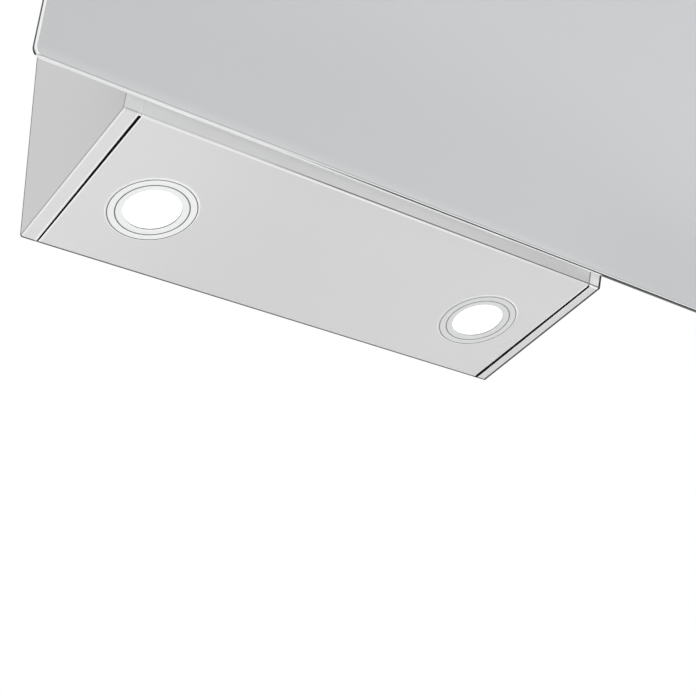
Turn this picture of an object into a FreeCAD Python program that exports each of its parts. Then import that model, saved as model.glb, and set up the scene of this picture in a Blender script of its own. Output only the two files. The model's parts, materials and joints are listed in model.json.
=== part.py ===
import FreeCAD
import Part
import Sketcher
import math
import os
import re

# Angled wall hood with a white glass front, in millimetres and degrees.
# X runs to the viewer's right, Y into the wall, Z up. The origin lies on the wall,
# midway between the two hanging slots of the back panel.

SIZES = {
    # glass front
    "glass_width": 598,
    "glass_height": 430,
    "glass_thick": 5,
    "glass_corner": 6,
    "glass_arris": 0.6,
    "glass_gap": 35.5,
    "glass_drop": 3,
    # folded body
    "body_width": 436.5,
    "body_height": 430,
    "bottom_depth": 140.2,
    "bottom_tilt": 15,
    "front_slope": 15,
    "panel_sheet": 1,
    "bend_radius": 2,
    "side_flange": 11.5,
    "flange_gap": 2,
    "front_seam": 0.5,
    "fold_play": 0.3,
    "lip_height": 45,
    "lamp_wall": 14,
    "rail_height": 38,
    "rail_inset": 4,
    # wall fixing
    "hang_height": 370,
    "hang_spacing": 300,
    "slot_width": 8,
    "slot_length": 20,
    "safety_height": 40,
    "safety_hole": 5.5,
    # lamps
    "lamp_diameter": 64,
    "lamp_side": 53.25,
    "lamp_setback": 64.5,
    "lamp_rim": 0.7,
    "lamp_bevel": 0.4,
    "lamp_groove_radius": 25.8,
    "lamp_groove_width": 1,
    "lamp_groove_depth": 0.4,
    "lamp_opening": 20.6,
    "lamp_seat": 0.6,
    "lamp_tube_radius": 27.8,
    "lamp_tube_wall": 1.5,
    "lamp_tube_length": 22,
    "lamp_hole_play": 0.2,
    "lamp_lens_thick": 2,
    "lamp_board_height": 12,
    "lamp_board_thick": 1.6,
    "lamp_chips": 6,
    "lamp_chip_radius": 2.2,
    "lamp_chip_height": 0.8,
    "lamp_chip_ring": 12,
    "lamp_cap_thick": 3,
    "lamp_spigot_radius": 15,
    "lamp_clip_height": 16,
    "lamp_clip_reach": 11,
    "lamp_clip_foot": 6,
    "lamp_clip_thick": 0.8,
    "lamp_clip_width": 8,
    # grease filters
    "tray_depth": 14,
    "tray_sheet": 0.8,
    "tray_ledge": 10,
    "post_width": 14,
    "post_depth": 11,
    "filter_play": 1,
    "filter_thick": 9,
    "filter_stile": 12,
    "filter_latch_stile": 28,
    "filter_mesh_sheet": 0.8,
    "filter_mesh_pitch": 14,
    "filter_mesh_rise": 4,
    "filter_mesh_seat": 2,
    "filter_lug_reach": 5,
    "filter_lug_height": 14,
    "filter_lug_place": 40,
    "latch_travel": 5,
    "latch_nose": 3,
    "latch_nose_height": 20,
    "latch_nose_thick": 3,
    "latch_length": 15,
    "latch_height": 28,
    "latch_depth": 4,
    "latch_proud": 1.2,
    "latch_play": 0.05,
    # glass frame and hinges
    "carrier_side": 28.25,
    "carrier_low": 18,
    "carrier_gap": 4,
    "carrier_depth": 6,
    "carrier_sheet": 1,
    "hinge_side": 68.25,
    "hinge_inset": 14,
    "hinge_plate_width": 40,
    "hinge_plate_thick": 3,
    "hinge_plate_low": 38,
    "hinge_ear_inner": 12,
    "hinge_ear_thick": 4,
    "hinge_knuckle": 7,
    "hinge_pin": 3,
    "hinge_play": 0.05,
    "hinge_side_play": 0.4,
    "hinge_head": 4.5,
    "hinge_head_thick": 1.5,
    "arm_plate_width": 34,
    "arm_plate_low": 24,
    "arm_plate_high": 14,
    "arm_web": 5,
    "screw_shank": 2,
    "screw_head": 3.6,
    "screw_head_thick": 2.2,
    "screw_place": 6,
    "screw_drop": 17,
    "catch_side": 98.25,
    "catch_width": 30,
    "catch_low": 20,
    "catch_height": 15,
    "catch_depth": 18,
    "strike_width": 26,
    "strike_margin": 2,
    # push buttons
    "control_height": 290,
    "button_count": 5,
    "button_pitch": 28,
    "button_radius": 6,
    "button_play": 0.08,
    "button_hole": 7,
    "button_proud": 2.6,
    "button_travel": 2,
    "button_collar": 8.5,
    "button_collar_thick": 1.5,
    "bezel_thick": 1.2,
    "bezel_height": 26,
    "bezel_margin": 16,
    "housing_height": 36,
    "housing_depth": 18,
    "housing_wall": 1.5,
    "housing_margin": 20,
    "switch_board_thick": 1.6,
    "switch_size": 6,
    "switch_height": 3.5,
    # blower
    "fan_drop": 180,
    "fan_radius": 85,
    "fan_tip_gap": 7,
    "fan_growth": 14,
    "case_depth": 120,
    "case_wall": 1.5,
    "case_top_drop": 58,
    "inlet_radius": 72,
    "guard_bar": 3,
    "guard_rings": 3,
    "motor_radius": 42,
    "motor_length": 55,
    "motor_flange": 50,
    "motor_flange_thick": 3,
    "motor_boss": 12,
    "motor_boss_length": 5,
    "motor_bore_depth": 40,
    "shaft_radius": 4,
    "shaft_play": 0.05,
    "shaft_front": 26,
    "fan_back_gap": 9,
    "fan_plate": 2,
    "fan_cup_gap": 8,
    "fan_hub_gap": 4,
    "fan_hub": 10,
    "fan_hub_length": 16,
    "fan_blades": 30,
    "fan_blade_inner": 69,
    "fan_blade_thick": 1.2,
    "fan_blade_length": 91,
    "fan_blade_lean": 7,
    "fan_blade_inset": 0.5,
    # outlet and damper
    "collar_setback": 105,
    "collar_radius": 74.5,
    "collar_wall": 2,
    "collar_height": 62,
    "collar_flange": 84,
    "collar_flange_thick": 2,
    "damper_height": 30,
    "damper_ledge": 3.5,
    "damper_ledge_thick": 2,
    "flap_thick": 1.2,
    "flap_play": 0.8,
    "flap_knuckle": 3.6,
    "flap_knuckle_length": 26,
    "flap_knuckle_gap": 1,
    "flap_slot": 4.4,
    "spindle_radius": 2,
    "spindle_play": 0.05,
    "duct_wall": 1.5,
    "duct_play": 1,
    # electrics
    "box_width": 110,
    "box_depth": 45,
    "box_height": 64,
    "box_gap": 14,
    "box_wall": 2,
    "gland_across": 100,
    "gland_setback": 24,
    "gland_bore": 4,
    "gland_thread": 10,
    "gland_nut": 13,
    "gland_nut_thick": 5,
    "gland_dome": 14,
    # chimney
    "chimney_width": 250,
    "chimney_depth": 210,
    "chimney_height": 400,
    "chimney_sheet": 0.8,
    "chimney_play": 0.4,
    "chimney_lift": 20,
    "chimney_return": 12,
    "vent_count": 6,
    "vent_height": 3.5,
    "vent_pitch": 10,
    "vent_length": 90,
    "vent_setback": 60,
    "vent_drop": 30,
    "bracket_height": 26,
    "bracket_thick": 2,
    "bracket_drop": 45,
    "bracket_arm": 40,
    "bracket_hole": 6,
    "bracket_spacing": 110,
}

# Lengths that follow from the sizes above.
DERIVED = {
    "half_body": "body_width / 2",
    "half_inside": "half_body - bend_radius - fold_play",
    "front_y": "-bottom_depth * cos(bottom_tilt)",
    "front_z": "bottom_depth * sin(bottom_tilt)",
    "front_length": "(body_height - front_z) / cos(front_slope)",
    "top_y": "front_y - front_length * sin(front_slope)",
    "fold": "front_slope + bottom_tilt",
    "front_flange": "side_flange + flange_gap - front_seam",
    "lamp_panel_width": "body_width - 2 * (side_flange + flange_gap)",
    "top_low": "body_height - 2 * panel_sheet",
    "top_high": "body_height - panel_sheet",
    "rail_low": "front_length - rail_inset - rail_height",
    "rail_high": "front_length - rail_inset",
    "lamp_spacing": "lamp_panel_width - 2 * lamp_side",
    "lamp_tube_inner": "lamp_tube_radius - lamp_tube_wall",
    "tray_low": "lip_height",
    "tray_back": "panel_sheet + tray_depth",
    "tray_floor": "tray_back - tray_sheet",
    "tray_half": "half_inside - fold_play",
    "filter_low": "tray_low + tray_sheet + filter_play",
    "filter_high": "rail_low - tray_sheet - filter_play",
    "filter_middle": "(filter_low + filter_high) / 2",
    "filter_inner": "post_width / 2 + filter_play",
    "filter_outer": "half_body - front_flange - filter_play",
    "filter_front": "tray_floor - filter_thick",
    "latch_floor": "filter_front + latch_depth",
    "hinge_spacing": "body_width - 2 * hinge_side",
    "hinge_v": "front_length - hinge_inset",
    "hinge_w": "glass_gap / 2",
    "glass_back": "-glass_gap",
    "glass_front": "-glass_gap - glass_thick",
    "carrier_width": "body_width - 2 * carrier_side",
    "carrier_high": "hinge_v - arm_plate_low - carrier_gap",
    "carrier_face": "glass_back + carrier_sheet",
    "catch_spacing": "body_width - 2 * catch_side",
    "ear_outer": "hinge_ear_inner + hinge_ear_thick",
    "plate_front": "panel_sheet - hinge_plate_thick",
    "control_half": "button_pitch * (button_count - 1) / 2",
    "bezel_front": "glass_front - bezel_thick",
    "housing_back": "carrier_face + housing_depth",
    "housing_floor": "housing_back - housing_wall",
    "board_face": "housing_floor - switch_board_thick",
    "switch_face": "board_face - switch_height",
    "fan_z": "body_height - fan_drop",
    "scroll_one": "fan_radius + fan_tip_gap",
    "scroll_two": "scroll_one + fan_growth",
    "scroll_three": "scroll_two + fan_growth",
    "fan_x": "-(fan_growth + scroll_three) / 2",
    "case_back": "-panel_sheet",
    "case_floor": "case_back - case_wall",
    "case_front": "case_back - case_depth",
    "case_top": "body_height - case_top_drop",
    "motor_end": "case_floor - motor_length",
    "boss_end": "motor_end - motor_boss_length",
    "hub_back": "boss_end - fan_hub_gap",
    "fan_back": "case_floor - fan_back_gap",
    "cup_radius": "motor_radius + fan_cup_gap",
    "collar_top": "top_high + collar_height",
    "damper_z": "top_high + damper_height",
    "collar_inner": "collar_radius - collar_wall",
    "outlet_half": "collar_inner + duct_wall + duct_play",
    "box_low": "fan_z - scroll_two - box_gap - box_height",
    "gland_top": "top_high + gland_nut_thick + gland_dome",
    "upper_half": "chimney_width / 2 - chimney_sheet - chimney_play",
    "upper_depth": "chimney_depth - chimney_sheet - chimney_play",
    "upper_height": "chimney_height + chimney_lift",
    "chimney_top": "top_high + chimney_height",
    "upper_top": "top_high + upper_height",
    "bracket_high": "chimney_top - bracket_drop",
    "bracket_width": "chimney_width - 2 * chimney_return",
}

WORD = re.compile(r"[A-Za-z_]\w*")
SIDES = (("left", -1), ("right", 1))

doc = FreeCAD.newDocument("Hood")
sheet = doc.addObject("Spreadsheet::Sheet", "Sizes")
for row, (name, value) in enumerate(SIZES.items(), 1):
    sheet.set(f"A{row}", name)
    sheet.set(f"B{row}", str(value))
    sheet.setAlias(f"B{row}", name)
doc.recompute()

nodes = []


def expr(text):
    """Turn a formula in plain size names into one that reads the sheet."""
    def swap(match):
        word = match.group(0)
        if word in SIZES:
            return "Sizes." + word
        if word in DERIVED:
            return "(" + expr(DERIVED[word]) + ")"
        return word
    return WORD.sub(swap, str(text))


def amount(text):
    """Value of a formula, as a number."""
    value = sheet.evalExpression(expr(text))
    return float(getattr(value, "Value", value))


def bind(item, **formulas):
    """Tie properties of an object to formulas."""
    for prop, formula in formulas.items():
        item.setExpression(prop, expr(formula))


def put(item, x="0", y="0", z="0", axis=(0, 0, 1), angle=0):
    """Give an object a fixed turn and a place that follows the sheet."""
    item.Placement = FreeCAD.Placement(FreeCAD.Vector(), FreeCAD.Rotation(FreeCAD.Vector(*axis), angle))
    for letter, formula in zip("xyz", (x, y, z)):
        item.setExpression("Placement.Base." + letter, expr(formula))


def slab(x0, x1, y0, y1, z0, z1):
    """Box between two limits along each axis."""
    item = doc.addObject("Part::Box", "Slab")
    bind(item, Length=f"({x1}) - ({x0})", Width=f"({y1}) - ({y0})", Height=f"({z1}) - ({z0})")
    put(item, x0, y0, z0)
    return item


TURNS = {"x": ((0, 1, 0), 90), "y": ((1, 0, 0), -90), "z": ((0, 0, 1), 0)}


def rod(along, radius, start, end, across):
    """Cylinder along an axis, from start to end, at the two other coordinates."""
    item = doc.addObject("Part::Cylinder", "Rod")
    bind(item, Radius=radius, Height=f"({end}) - ({start})")
    place = list(across)
    place.insert("xyz".index(along), start)
    axis, angle = TURNS[along]
    put(item, *place, axis=axis, angle=angle)
    return item


def fuse(*items):
    joined = doc.addObject("Part::MultiFuse", "Joined")
    joined.Shapes = list(items)
    return joined


def cut(base, *tools):
    """Take one or more tools away from a solid."""
    made = doc.addObject("Part::Cut", "Cut")
    made.Base = base
    made.Tool = tools[0] if len(tools) == 1 else fuse(*tools)
    return made


def outline(body, role, points):
    """Closed polygon on an origin plane, every corner tied to the sheet."""
    sketch = body.newObject("Sketcher::SketchObject", "Outline")
    plane = next(item for item in body.Origin.OriginFeatures if item.Role == role)
    sketch.AttachmentSupport = (plane, [""])
    sketch.MapMode = "FlatFace"
    corners = [FreeCAD.Vector(amount(a), amount(b), 0) for a, b in points]
    count = len(corners)
    for index in range(count):
        sketch.addGeometry(Part.LineSegment(corners[index], corners[(index + 1) % count]), False)
    for index in range(count):
        sketch.addConstraint(Sketcher.Constraint("Coincident", index, 2, (index + 1) % count, 1))
    for index, pair in enumerate(points):
        for kind, formula, line in zip(("DistanceX", "DistanceY"), pair, (-2, -1)):
            if formula == "0":
                sketch.addConstraint(Sketcher.Constraint("PointOnObject", index, 1, line))
            else:
                rule = Sketcher.Constraint(kind, -1, 1, index, 1, amount(formula))
                spot = sketch.addConstraint(rule)
                sketch.setExpression(f"Constraints[{spot}]", expr(formula))
    doc.recompute()
    return sketch


def prism(role, points, length, reverse=False):
    """Body with one padded polygon."""
    body = doc.addObject("PartDesign::Body", "Body")
    pad = body.newObject("PartDesign::Pad", "Pad")
    pad.Profile = outline(body, role, points)
    pad.Reversed = reverse
    bind(pad, Length=length)
    doc.recompute()
    return body


def turned(points):
    """Body turned about Z from a polygon of radius and height."""
    body = doc.addObject("PartDesign::Body", "Body")
    sketch = outline(body, "XZ_Plane", points)
    turn = body.newObject("PartDesign::Revolution", "Revolution")
    turn.Profile = sketch
    turn.ReferenceAxis = (sketch, ["V_Axis"])
    turn.Angle = 360
    doc.recompute()
    return body


def soften(body, kind, prop, formula, wanted):
    """Fillet or chamfer the edges of a body that a test picks out."""
    base = body.Tip
    names = [f"Edge{spot}" for spot, edge in enumerate(base.Shape.Edges, 1) if wanted(edge.BoundBox)]
    worked = body.newObject(kind, "Edges")
    worked.Base = (base, names)
    bind(worked, **{prop: formula})
    doc.recompute()


def hollow(body, formula, wanted):
    """Shell a body inwards, open at the faces whose normal passes a test."""
    base = body.Tip
    names = [f"Face{spot}" for spot, face in enumerate(base.Shape.Faces, 1)
             if face.Surface.TypeId == "Part::GeomPlane" and wanted(face.normalAt(0, 0))]
    shell = body.newObject("PartDesign::Thickness", "Shell")
    shell.Base = (base, names)
    shell.Reversed = True
    bind(shell, Value=formula)
    doc.recompute()


def solid(shape, label):
    """Plain shape made in code from the sheet's values."""
    item = doc.addObject("Part::Feature", label)
    item.Shape = shape
    return item


def node(label, item, frame="upright"):
    """Name a finished sub-part and set it into the assembly.

    Upright parts are drawn from the lower rear edge of the body. Bottom parts are drawn
    on the tilted underside, sloped parts on the leaning front from its lower edge up.
    """
    held = doc.addObject("Part::Compound", label)
    held.Links = [item]
    held.Label = label
    if frame == "upright":
        put(held, z="-hang_height")
    elif frame == "bottom":
        put(held, z="-hang_height", axis=(-1, 0, 0), angle=10)
        held.setExpression("Placement.Rotation.Angle", expr("bottom_tilt"))
    else:
        put(held, y="front_y", z="front_z - hang_height", axis=(1, 0, 0), angle=10)
        held.setExpression("Placement.Rotation.Angle", expr("front_slope"))
    nodes.append(held)
    return held


def side_panels():
    """Folded side sheets with flanges along the underside, the front and the top."""
    profile = [("0", "0"), ("front_y", "front_z"), ("top_y", "body_height"), ("0", "body_height")]
    for side, sign in SIDES:
        body = prism("YZ_Plane", profile, "front_flange", reverse=sign > 0)
        soften(body, "PartDesign::Fillet", "Radius", "bend_radius",
               lambda box: abs(box.XMin) < 0.001 and abs(box.XMax) < 0.001 and box.YMin < -1)
        hollow(body, "panel_sheet", lambda n: n.x * sign < -0.9 or n.y > 0.99)
        put(body, x=f"{sign} * half_body")
        edges = [f"{sign} * (half_body - side_flange)", f"{sign} * (half_body - front_flange - 1)"]
        low, high = sorted(edges, key=amount)
        trim = slab(low, high, "-(bottom_depth - panel_sheet)", "1", "-1", "3 * panel_sheet")
        trim.Placement = FreeCAD.Placement(FreeCAD.Vector(), FreeCAD.Rotation(FreeCAD.Vector(-1, 0, 0), 10))
        trim.setExpression("Placement.Rotation.Angle", expr("bottom_tilt"))
        bind(trim, **{"Placement.Base.x": low})
        start = "-(bottom_depth - panel_sheet)"
        trim.setExpression("Placement.Base.y", expr(f"{start} * cos(bottom_tilt) - sin(bottom_tilt)"))
        trim.setExpression("Placement.Base.z", expr(f"-({start}) * sin(bottom_tilt) - cos(bottom_tilt)"))
        node(f"{side}_side_panel", cut(body, trim))


def back_panel():
    """Wall plate with two hanging slots and two safety holes."""
    plate = slab("-half_inside", "half_inside", "-panel_sheet", "0",
                 "lamp_wall + panel_sheet + fold_play", "top_high")
    tools = []
    for sign in (-1, 1):
        across = f"{sign} * hang_spacing / 2"
        ends = [f"{across} + {turn} * (slot_length - slot_width) / 2" for turn in (-1, 1)]
        for end in ends:
            tools.append(rod("y", "slot_width / 2", "-2 * panel_sheet", "panel_sheet", (end, "hang_height")))
        tools.append(slab(ends[0], ends[1], "-2 * panel_sheet", "panel_sheet",
                          "hang_height - slot_width / 2", "hang_height + slot_width / 2"))
        tools.append(rod("y", "safety_hole / 2", "-2 * panel_sheet", "panel_sheet",
                         (across, "safety_height")))
    node("back_panel", cut(plate, *tools))


def top_panel():
    """Top plate with the square outlet hole and the cable hole."""
    front = "top_y + 2 * panel_sheet * tan(front_slope) + panel_sheet / cos(front_slope) + fold_play"
    plate = slab("-half_inside", "half_inside", front, "-panel_sheet", "top_low", "top_high")
    outlet = slab("-outlet_half", "outlet_half", "-collar_setback - outlet_half",
                  "-collar_setback + outlet_half", "top_low - 1", "top_high + 1")
    cable = rod("z", "gland_thread", "top_low - 1", "top_high + 1", ("gland_across", "-gland_setback"))
    node("top_panel", cut(plate, outlet, cable))


def front_rail():
    """Cross rail behind the front flanges, under the top plate."""
    rail = slab("-half_inside + fold_play", "half_inside - fold_play", "panel_sheet", "2 * panel_sheet",
                "rail_low", "rail_high")
    holes = [rod("y", "screw_shank", "0", "3 * panel_sheet", place) for place in hinge_screw_places()]
    node("front_rail", cut(rail, *holes), "sloped")


def hinge_screw_places():
    return [(f"{sign} * hinge_spacing / 2 + {turn} * screw_place", "hinge_v - screw_drop")
            for sign in (-1, 1) for turn in (-1, 1)]


def lamp_panel():
    """Underside tray with the front lip and two lamp holes."""
    profile = [("0", "0"), ("-bottom_depth", "0"),
               ("-bottom_depth - lip_height * sin(fold)", "lip_height * cos(fold)"),
               ("-lamp_wall * sin(bottom_tilt)", "lamp_wall * cos(bottom_tilt)")]
    body = prism("YZ_Plane", profile, "lamp_panel_width")
    depth = amount("bottom_depth")
    soften(body, "PartDesign::Fillet", "Radius", "bend_radius",
           lambda box: abs(box.ZMax) < 0.001 and abs(box.YMin + depth) < 0.001 and box.XLength > 1
           and box.YLength < 0.001)
    hollow(body, "panel_sheet", lambda n: n.z > 0.2)
    put(body, x="-lamp_panel_width / 2")
    holes = [rod("z", "lamp_tube_radius + lamp_hole_play", "-1", "2 * panel_sheet",
                 (f"{sign} * lamp_spacing / 2", "-lamp_setback")) for sign in (-1, 1)]
    node("lamp_panel", cut(body, *holes), "bottom")


def lamps():
    """Two recessed lamps: trim, lens, lit board, cap and spring clips."""
    trim_profile = [
        ("lamp_diameter / 2", "0"),
        ("lamp_diameter / 2", "-(lamp_rim - lamp_bevel)"),
        ("lamp_diameter / 2 - lamp_bevel", "-lamp_rim"),
        ("lamp_groove_radius + lamp_groove_width / 2", "-lamp_rim"),
        ("lamp_groove_radius + lamp_groove_width / 2", "-(lamp_rim - lamp_groove_depth)"),
        ("lamp_groove_radius - lamp_groove_width / 2", "-(lamp_rim - lamp_groove_depth)"),
        ("lamp_groove_radius - lamp_groove_width / 2", "-lamp_rim"),
        ("lamp_opening + lamp_bevel", "-lamp_rim"),
        ("lamp_opening", "-(lamp_rim - lamp_bevel)"),
        ("lamp_opening", "lamp_seat"),
        ("lamp_tube_inner", "lamp_seat"),
        ("lamp_tube_inner", "lamp_tube_length"),
        ("lamp_tube_radius", "lamp_tube_length"),
        ("lamp_tube_radius", "0"),
    ]
    cap_profile = [
        ("0", "lamp_board_height + lamp_board_thick"),
        ("lamp_spigot_radius", "lamp_board_height + lamp_board_thick"),
        ("lamp_spigot_radius", "lamp_tube_length"),
        ("lamp_tube_radius", "lamp_tube_length"),
        ("lamp_tube_radius", "lamp_tube_length + lamp_cap_thick"),
        ("0", "lamp_tube_length + lamp_cap_thick"),
    ]
    clip_profile = [
        ("lamp_tube_radius", "lamp_clip_height"),
        ("lamp_tube_radius", "lamp_clip_height - 2 * lamp_clip_thick"),
        ("lamp_tube_radius + lamp_clip_reach", "panel_sheet"),
        ("lamp_tube_radius + lamp_clip_reach + lamp_clip_foot", "panel_sheet"),
        ("lamp_tube_radius + lamp_clip_reach + lamp_clip_foot", "panel_sheet + lamp_clip_thick"),
        ("lamp_tube_radius + lamp_clip_reach + lamp_clip_thick", "panel_sheet + lamp_clip_thick"),
    ]
    top = "lamp_board_height + lamp_board_thick"
    for side, sign in SIDES:
        x = f"{sign} * lamp_spacing / 2"
        y = "-lamp_setback"
        for name, profile in (("trim", trim_profile), ("cap", cap_profile)):
            body = turned(profile)
            put(body, x, y)
            node(f"{side}_lamp_{name}", body, "bottom")
        lens = rod("z", "lamp_tube_inner", "lamp_seat", "lamp_seat + lamp_lens_thick", (x, y))
        node(f"{side}_lamp_lens", lens, "bottom")
        board = [rod("z", "lamp_tube_inner", "lamp_board_height", top, (x, y))]
        count = int(SIZES["lamp_chips"])
        for step in range(count):
            turn = 360 * step / count
            place = (f"{x} + lamp_chip_ring * cos({turn})", f"{y} + lamp_chip_ring * sin({turn})")
            board.append(rod("z", "lamp_chip_radius", "lamp_board_height - lamp_chip_height",
                             "lamp_board_height", place))
        node(f"{side}_lamp_board", fuse(*board), "bottom")
        clips = []
        for turn in (0, 180):
            clip = prism("XZ_Plane", clip_profile, "lamp_clip_width")
            shift = "lamp_clip_width / 2" if turn == 0 else "-lamp_clip_width / 2"
            put(clip, x, f"{y} + {shift}", axis=(0, 0, 1), angle=turn)
            clips.append(clip)
        held = doc.addObject("Part::Compound", "Pair")
        held.Links = clips
        node(f"{side}_lamp_clips", held, "bottom")


def filter_tray():
    """Recessed tray behind the front opening, with a window for each filter."""
    outer = slab("-tray_half", "tray_half", "panel_sheet", "tray_back", "tray_low", "rail_low")
    inner = slab("-tray_half + tray_sheet", "tray_half - tray_sheet", "0", "tray_floor",
                 "tray_low + tray_sheet", "rail_low - tray_sheet")
    windows = []
    for sign in (-1, 1):
        limits = sorted((f"{sign} * (filter_inner + tray_ledge)", f"{sign} * (filter_outer - tray_ledge)"),
                        key=amount)
        windows.append(slab(*limits, "tray_floor - 1", "tray_back + 1",
                            "filter_low + tray_ledge", "filter_high - tray_ledge"))
    node("filter_tray", cut(outer, inner, *windows), "sloped")


def filter_post():
    """Upright between the two filters, with a keep for each latch."""
    post = slab("-post_width / 2", "post_width / 2", "tray_floor - post_depth", "tray_floor",
                "tray_low + tray_sheet", "rail_low - tray_sheet")
    keeps = []
    for sign in (-1, 1):
        limits = sorted((f"{sign} * (filter_inner - filter_play - latch_nose - 4 * latch_play)",
                         f"{sign} * post_width"), key=amount)
        keeps.append(slab(*limits, "latch_floor - latch_nose_thick - 4 * latch_play",
                          "latch_floor + 4 * latch_play",
                          "filter_middle - latch_nose_height / 2 - 4 * latch_play",
                          "filter_middle + latch_nose_height / 2 + 4 * latch_play"))
    node("filter_post", cut(post, *keeps), "sloped")


def filters():
    """Two lift-out grease filters: frame, folded mesh and sliding latch."""
    def span(sign, inner, outer):
        return sorted((f"{sign} * ({inner})", f"{sign} * ({outer})"), key=amount)

    for side, sign in SIDES:
        frame = slab(*span(sign, "filter_inner", "filter_outer"), "filter_front", "tray_floor",
                     "filter_low", "filter_high")
        inner = "filter_inner + filter_latch_stile"
        outer = "filter_outer - filter_stile"
        low = "filter_low + filter_stile"
        high = "filter_high - filter_stile"
        window = slab(*span(sign, inner, outer), "filter_front - 1", "tray_floor + 1", low, high)
        seat = slab(*span(sign, f"{inner} - filter_mesh_seat", f"{outer} + filter_mesh_seat"),
                    "filter_front + filter_mesh_seat", "tray_floor - filter_mesh_seat",
                    f"{low} - filter_mesh_seat", f"{high} + filter_mesh_seat")
        pocket = slab(*span(sign, "filter_inner - 1",
                            "filter_inner + latch_length + latch_travel + 2 * latch_play"),
                      "filter_front - 1", "latch_floor",
                      "filter_middle - latch_height / 2 - latch_play",
                      "filter_middle + latch_height / 2 + latch_play")
        lugs = []
        for place in ("filter_low + filter_lug_place",
                      "filter_high - filter_lug_place - filter_lug_height"):
            lugs.append(slab(*span(sign, "filter_outer - filter_stile / 2",
                                   "filter_outer + filter_play + filter_lug_reach"),
                             "panel_sheet + fold_play", "filter_front + filter_thick / 2",
                             place, f"{place} + filter_lug_height"))
        whole = cut(fuse(frame, *lugs), window, seat, pocket)
        node(f"{side}_filter_frame", whole, "sloped")

        mesh_low, mesh_high = f"{low} - filter_mesh_seat", f"{high} + filter_mesh_seat"
        left, right = span(sign, f"{inner} - filter_mesh_seat", f"{outer} + filter_mesh_seat")
        node(f"{side}_filter_mesh", folded_mesh(left, right, mesh_low, mesh_high), "sloped")

        slide = slab(*span(sign, "filter_inner + latch_play", "filter_inner + latch_length"),
                     "filter_front - latch_proud", "latch_floor - latch_play",
                     "filter_middle - latch_height / 2", "filter_middle + latch_height / 2")
        nose = slab(*span(sign, "filter_inner - filter_play - latch_nose", "filter_inner + latch_length / 2"),
                    "latch_floor - latch_nose_thick", "latch_floor - latch_play",
                    "filter_middle - latch_nose_height / 2", "filter_middle + latch_nose_height / 2")
        node(f"{side}_filter_latch", fuse(slide, nose), "sloped")


def folded_mesh(left, right, low, high):
    """Zigzag sheet that fills the seat of a filter frame."""
    x0, x1 = amount(left), amount(right)
    middle = amount("(filter_front + tray_floor) / 2")
    rise = amount("filter_mesh_rise") / 2
    half = amount("filter_mesh_sheet") / 2
    folds = 2 * max(4, round((x1 - x0) / amount("filter_mesh_pitch")))
    near, far = [], []
    for step in range(folds + 1):
        x = x0 + (x1 - x0) * step / folds
        y = middle + (rise if step % 2 else -rise) * (1 if 0 < step < folds else 0)
        near.append(FreeCAD.Vector(x, y - half, amount(low)))
        far.append(FreeCAD.Vector(x, y + half, amount(low)))
    ring = near + far[::-1]
    face = Part.Face(Part.makePolygon(ring + ring[:1]))
    return solid(face.extrude(FreeCAD.Vector(0, 0, amount(high) - amount(low))), "Mesh")


def button_places():
    return [f"(-control_half + {spot} * button_pitch)" for spot in range(int(SIZES["button_count"]))]


def glass():
    """Glass front with rounded corners and a hole for each button, and its bonded frame."""
    low, high = "-glass_drop", "glass_height - glass_drop"
    profile = [("-glass_width / 2", low), ("glass_width / 2", low),
               ("glass_width / 2", high), ("-glass_width / 2", high)]
    body = prism("XZ_Plane", profile, "glass_thick")
    soften(body, "PartDesign::Fillet", "Radius", "glass_corner",
           lambda box: box.XLength < 0.001 and box.ZLength < 0.001)
    soften(body, "PartDesign::Chamfer", "Size", "glass_arris", lambda box: box.YLength < 0.001)
    put(body, y="glass_back")
    holes = [rod("y", "button_hole", "glass_front - 1", "glass_back + 1", (x, "control_height"))
             for x in button_places()]
    node("glass_panel", cut(body, *holes), "sloped")

    outer = slab("-carrier_width / 2", "carrier_width / 2", "glass_back", "glass_back + carrier_depth",
                 "carrier_low", "carrier_high")
    inner = slab("-carrier_width / 2 + carrier_sheet", "carrier_width / 2 - carrier_sheet",
                 "carrier_face", "glass_back + carrier_depth + 1",
                 "carrier_low + carrier_sheet", "carrier_high - carrier_sheet")
    holes = [rod("y", "button_hole", "glass_back - 1", "carrier_face + 1", (x, "control_height"))
             for x in button_places()]
    node("glass_carrier", cut(outer, inner, *holes), "sloped")


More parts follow.
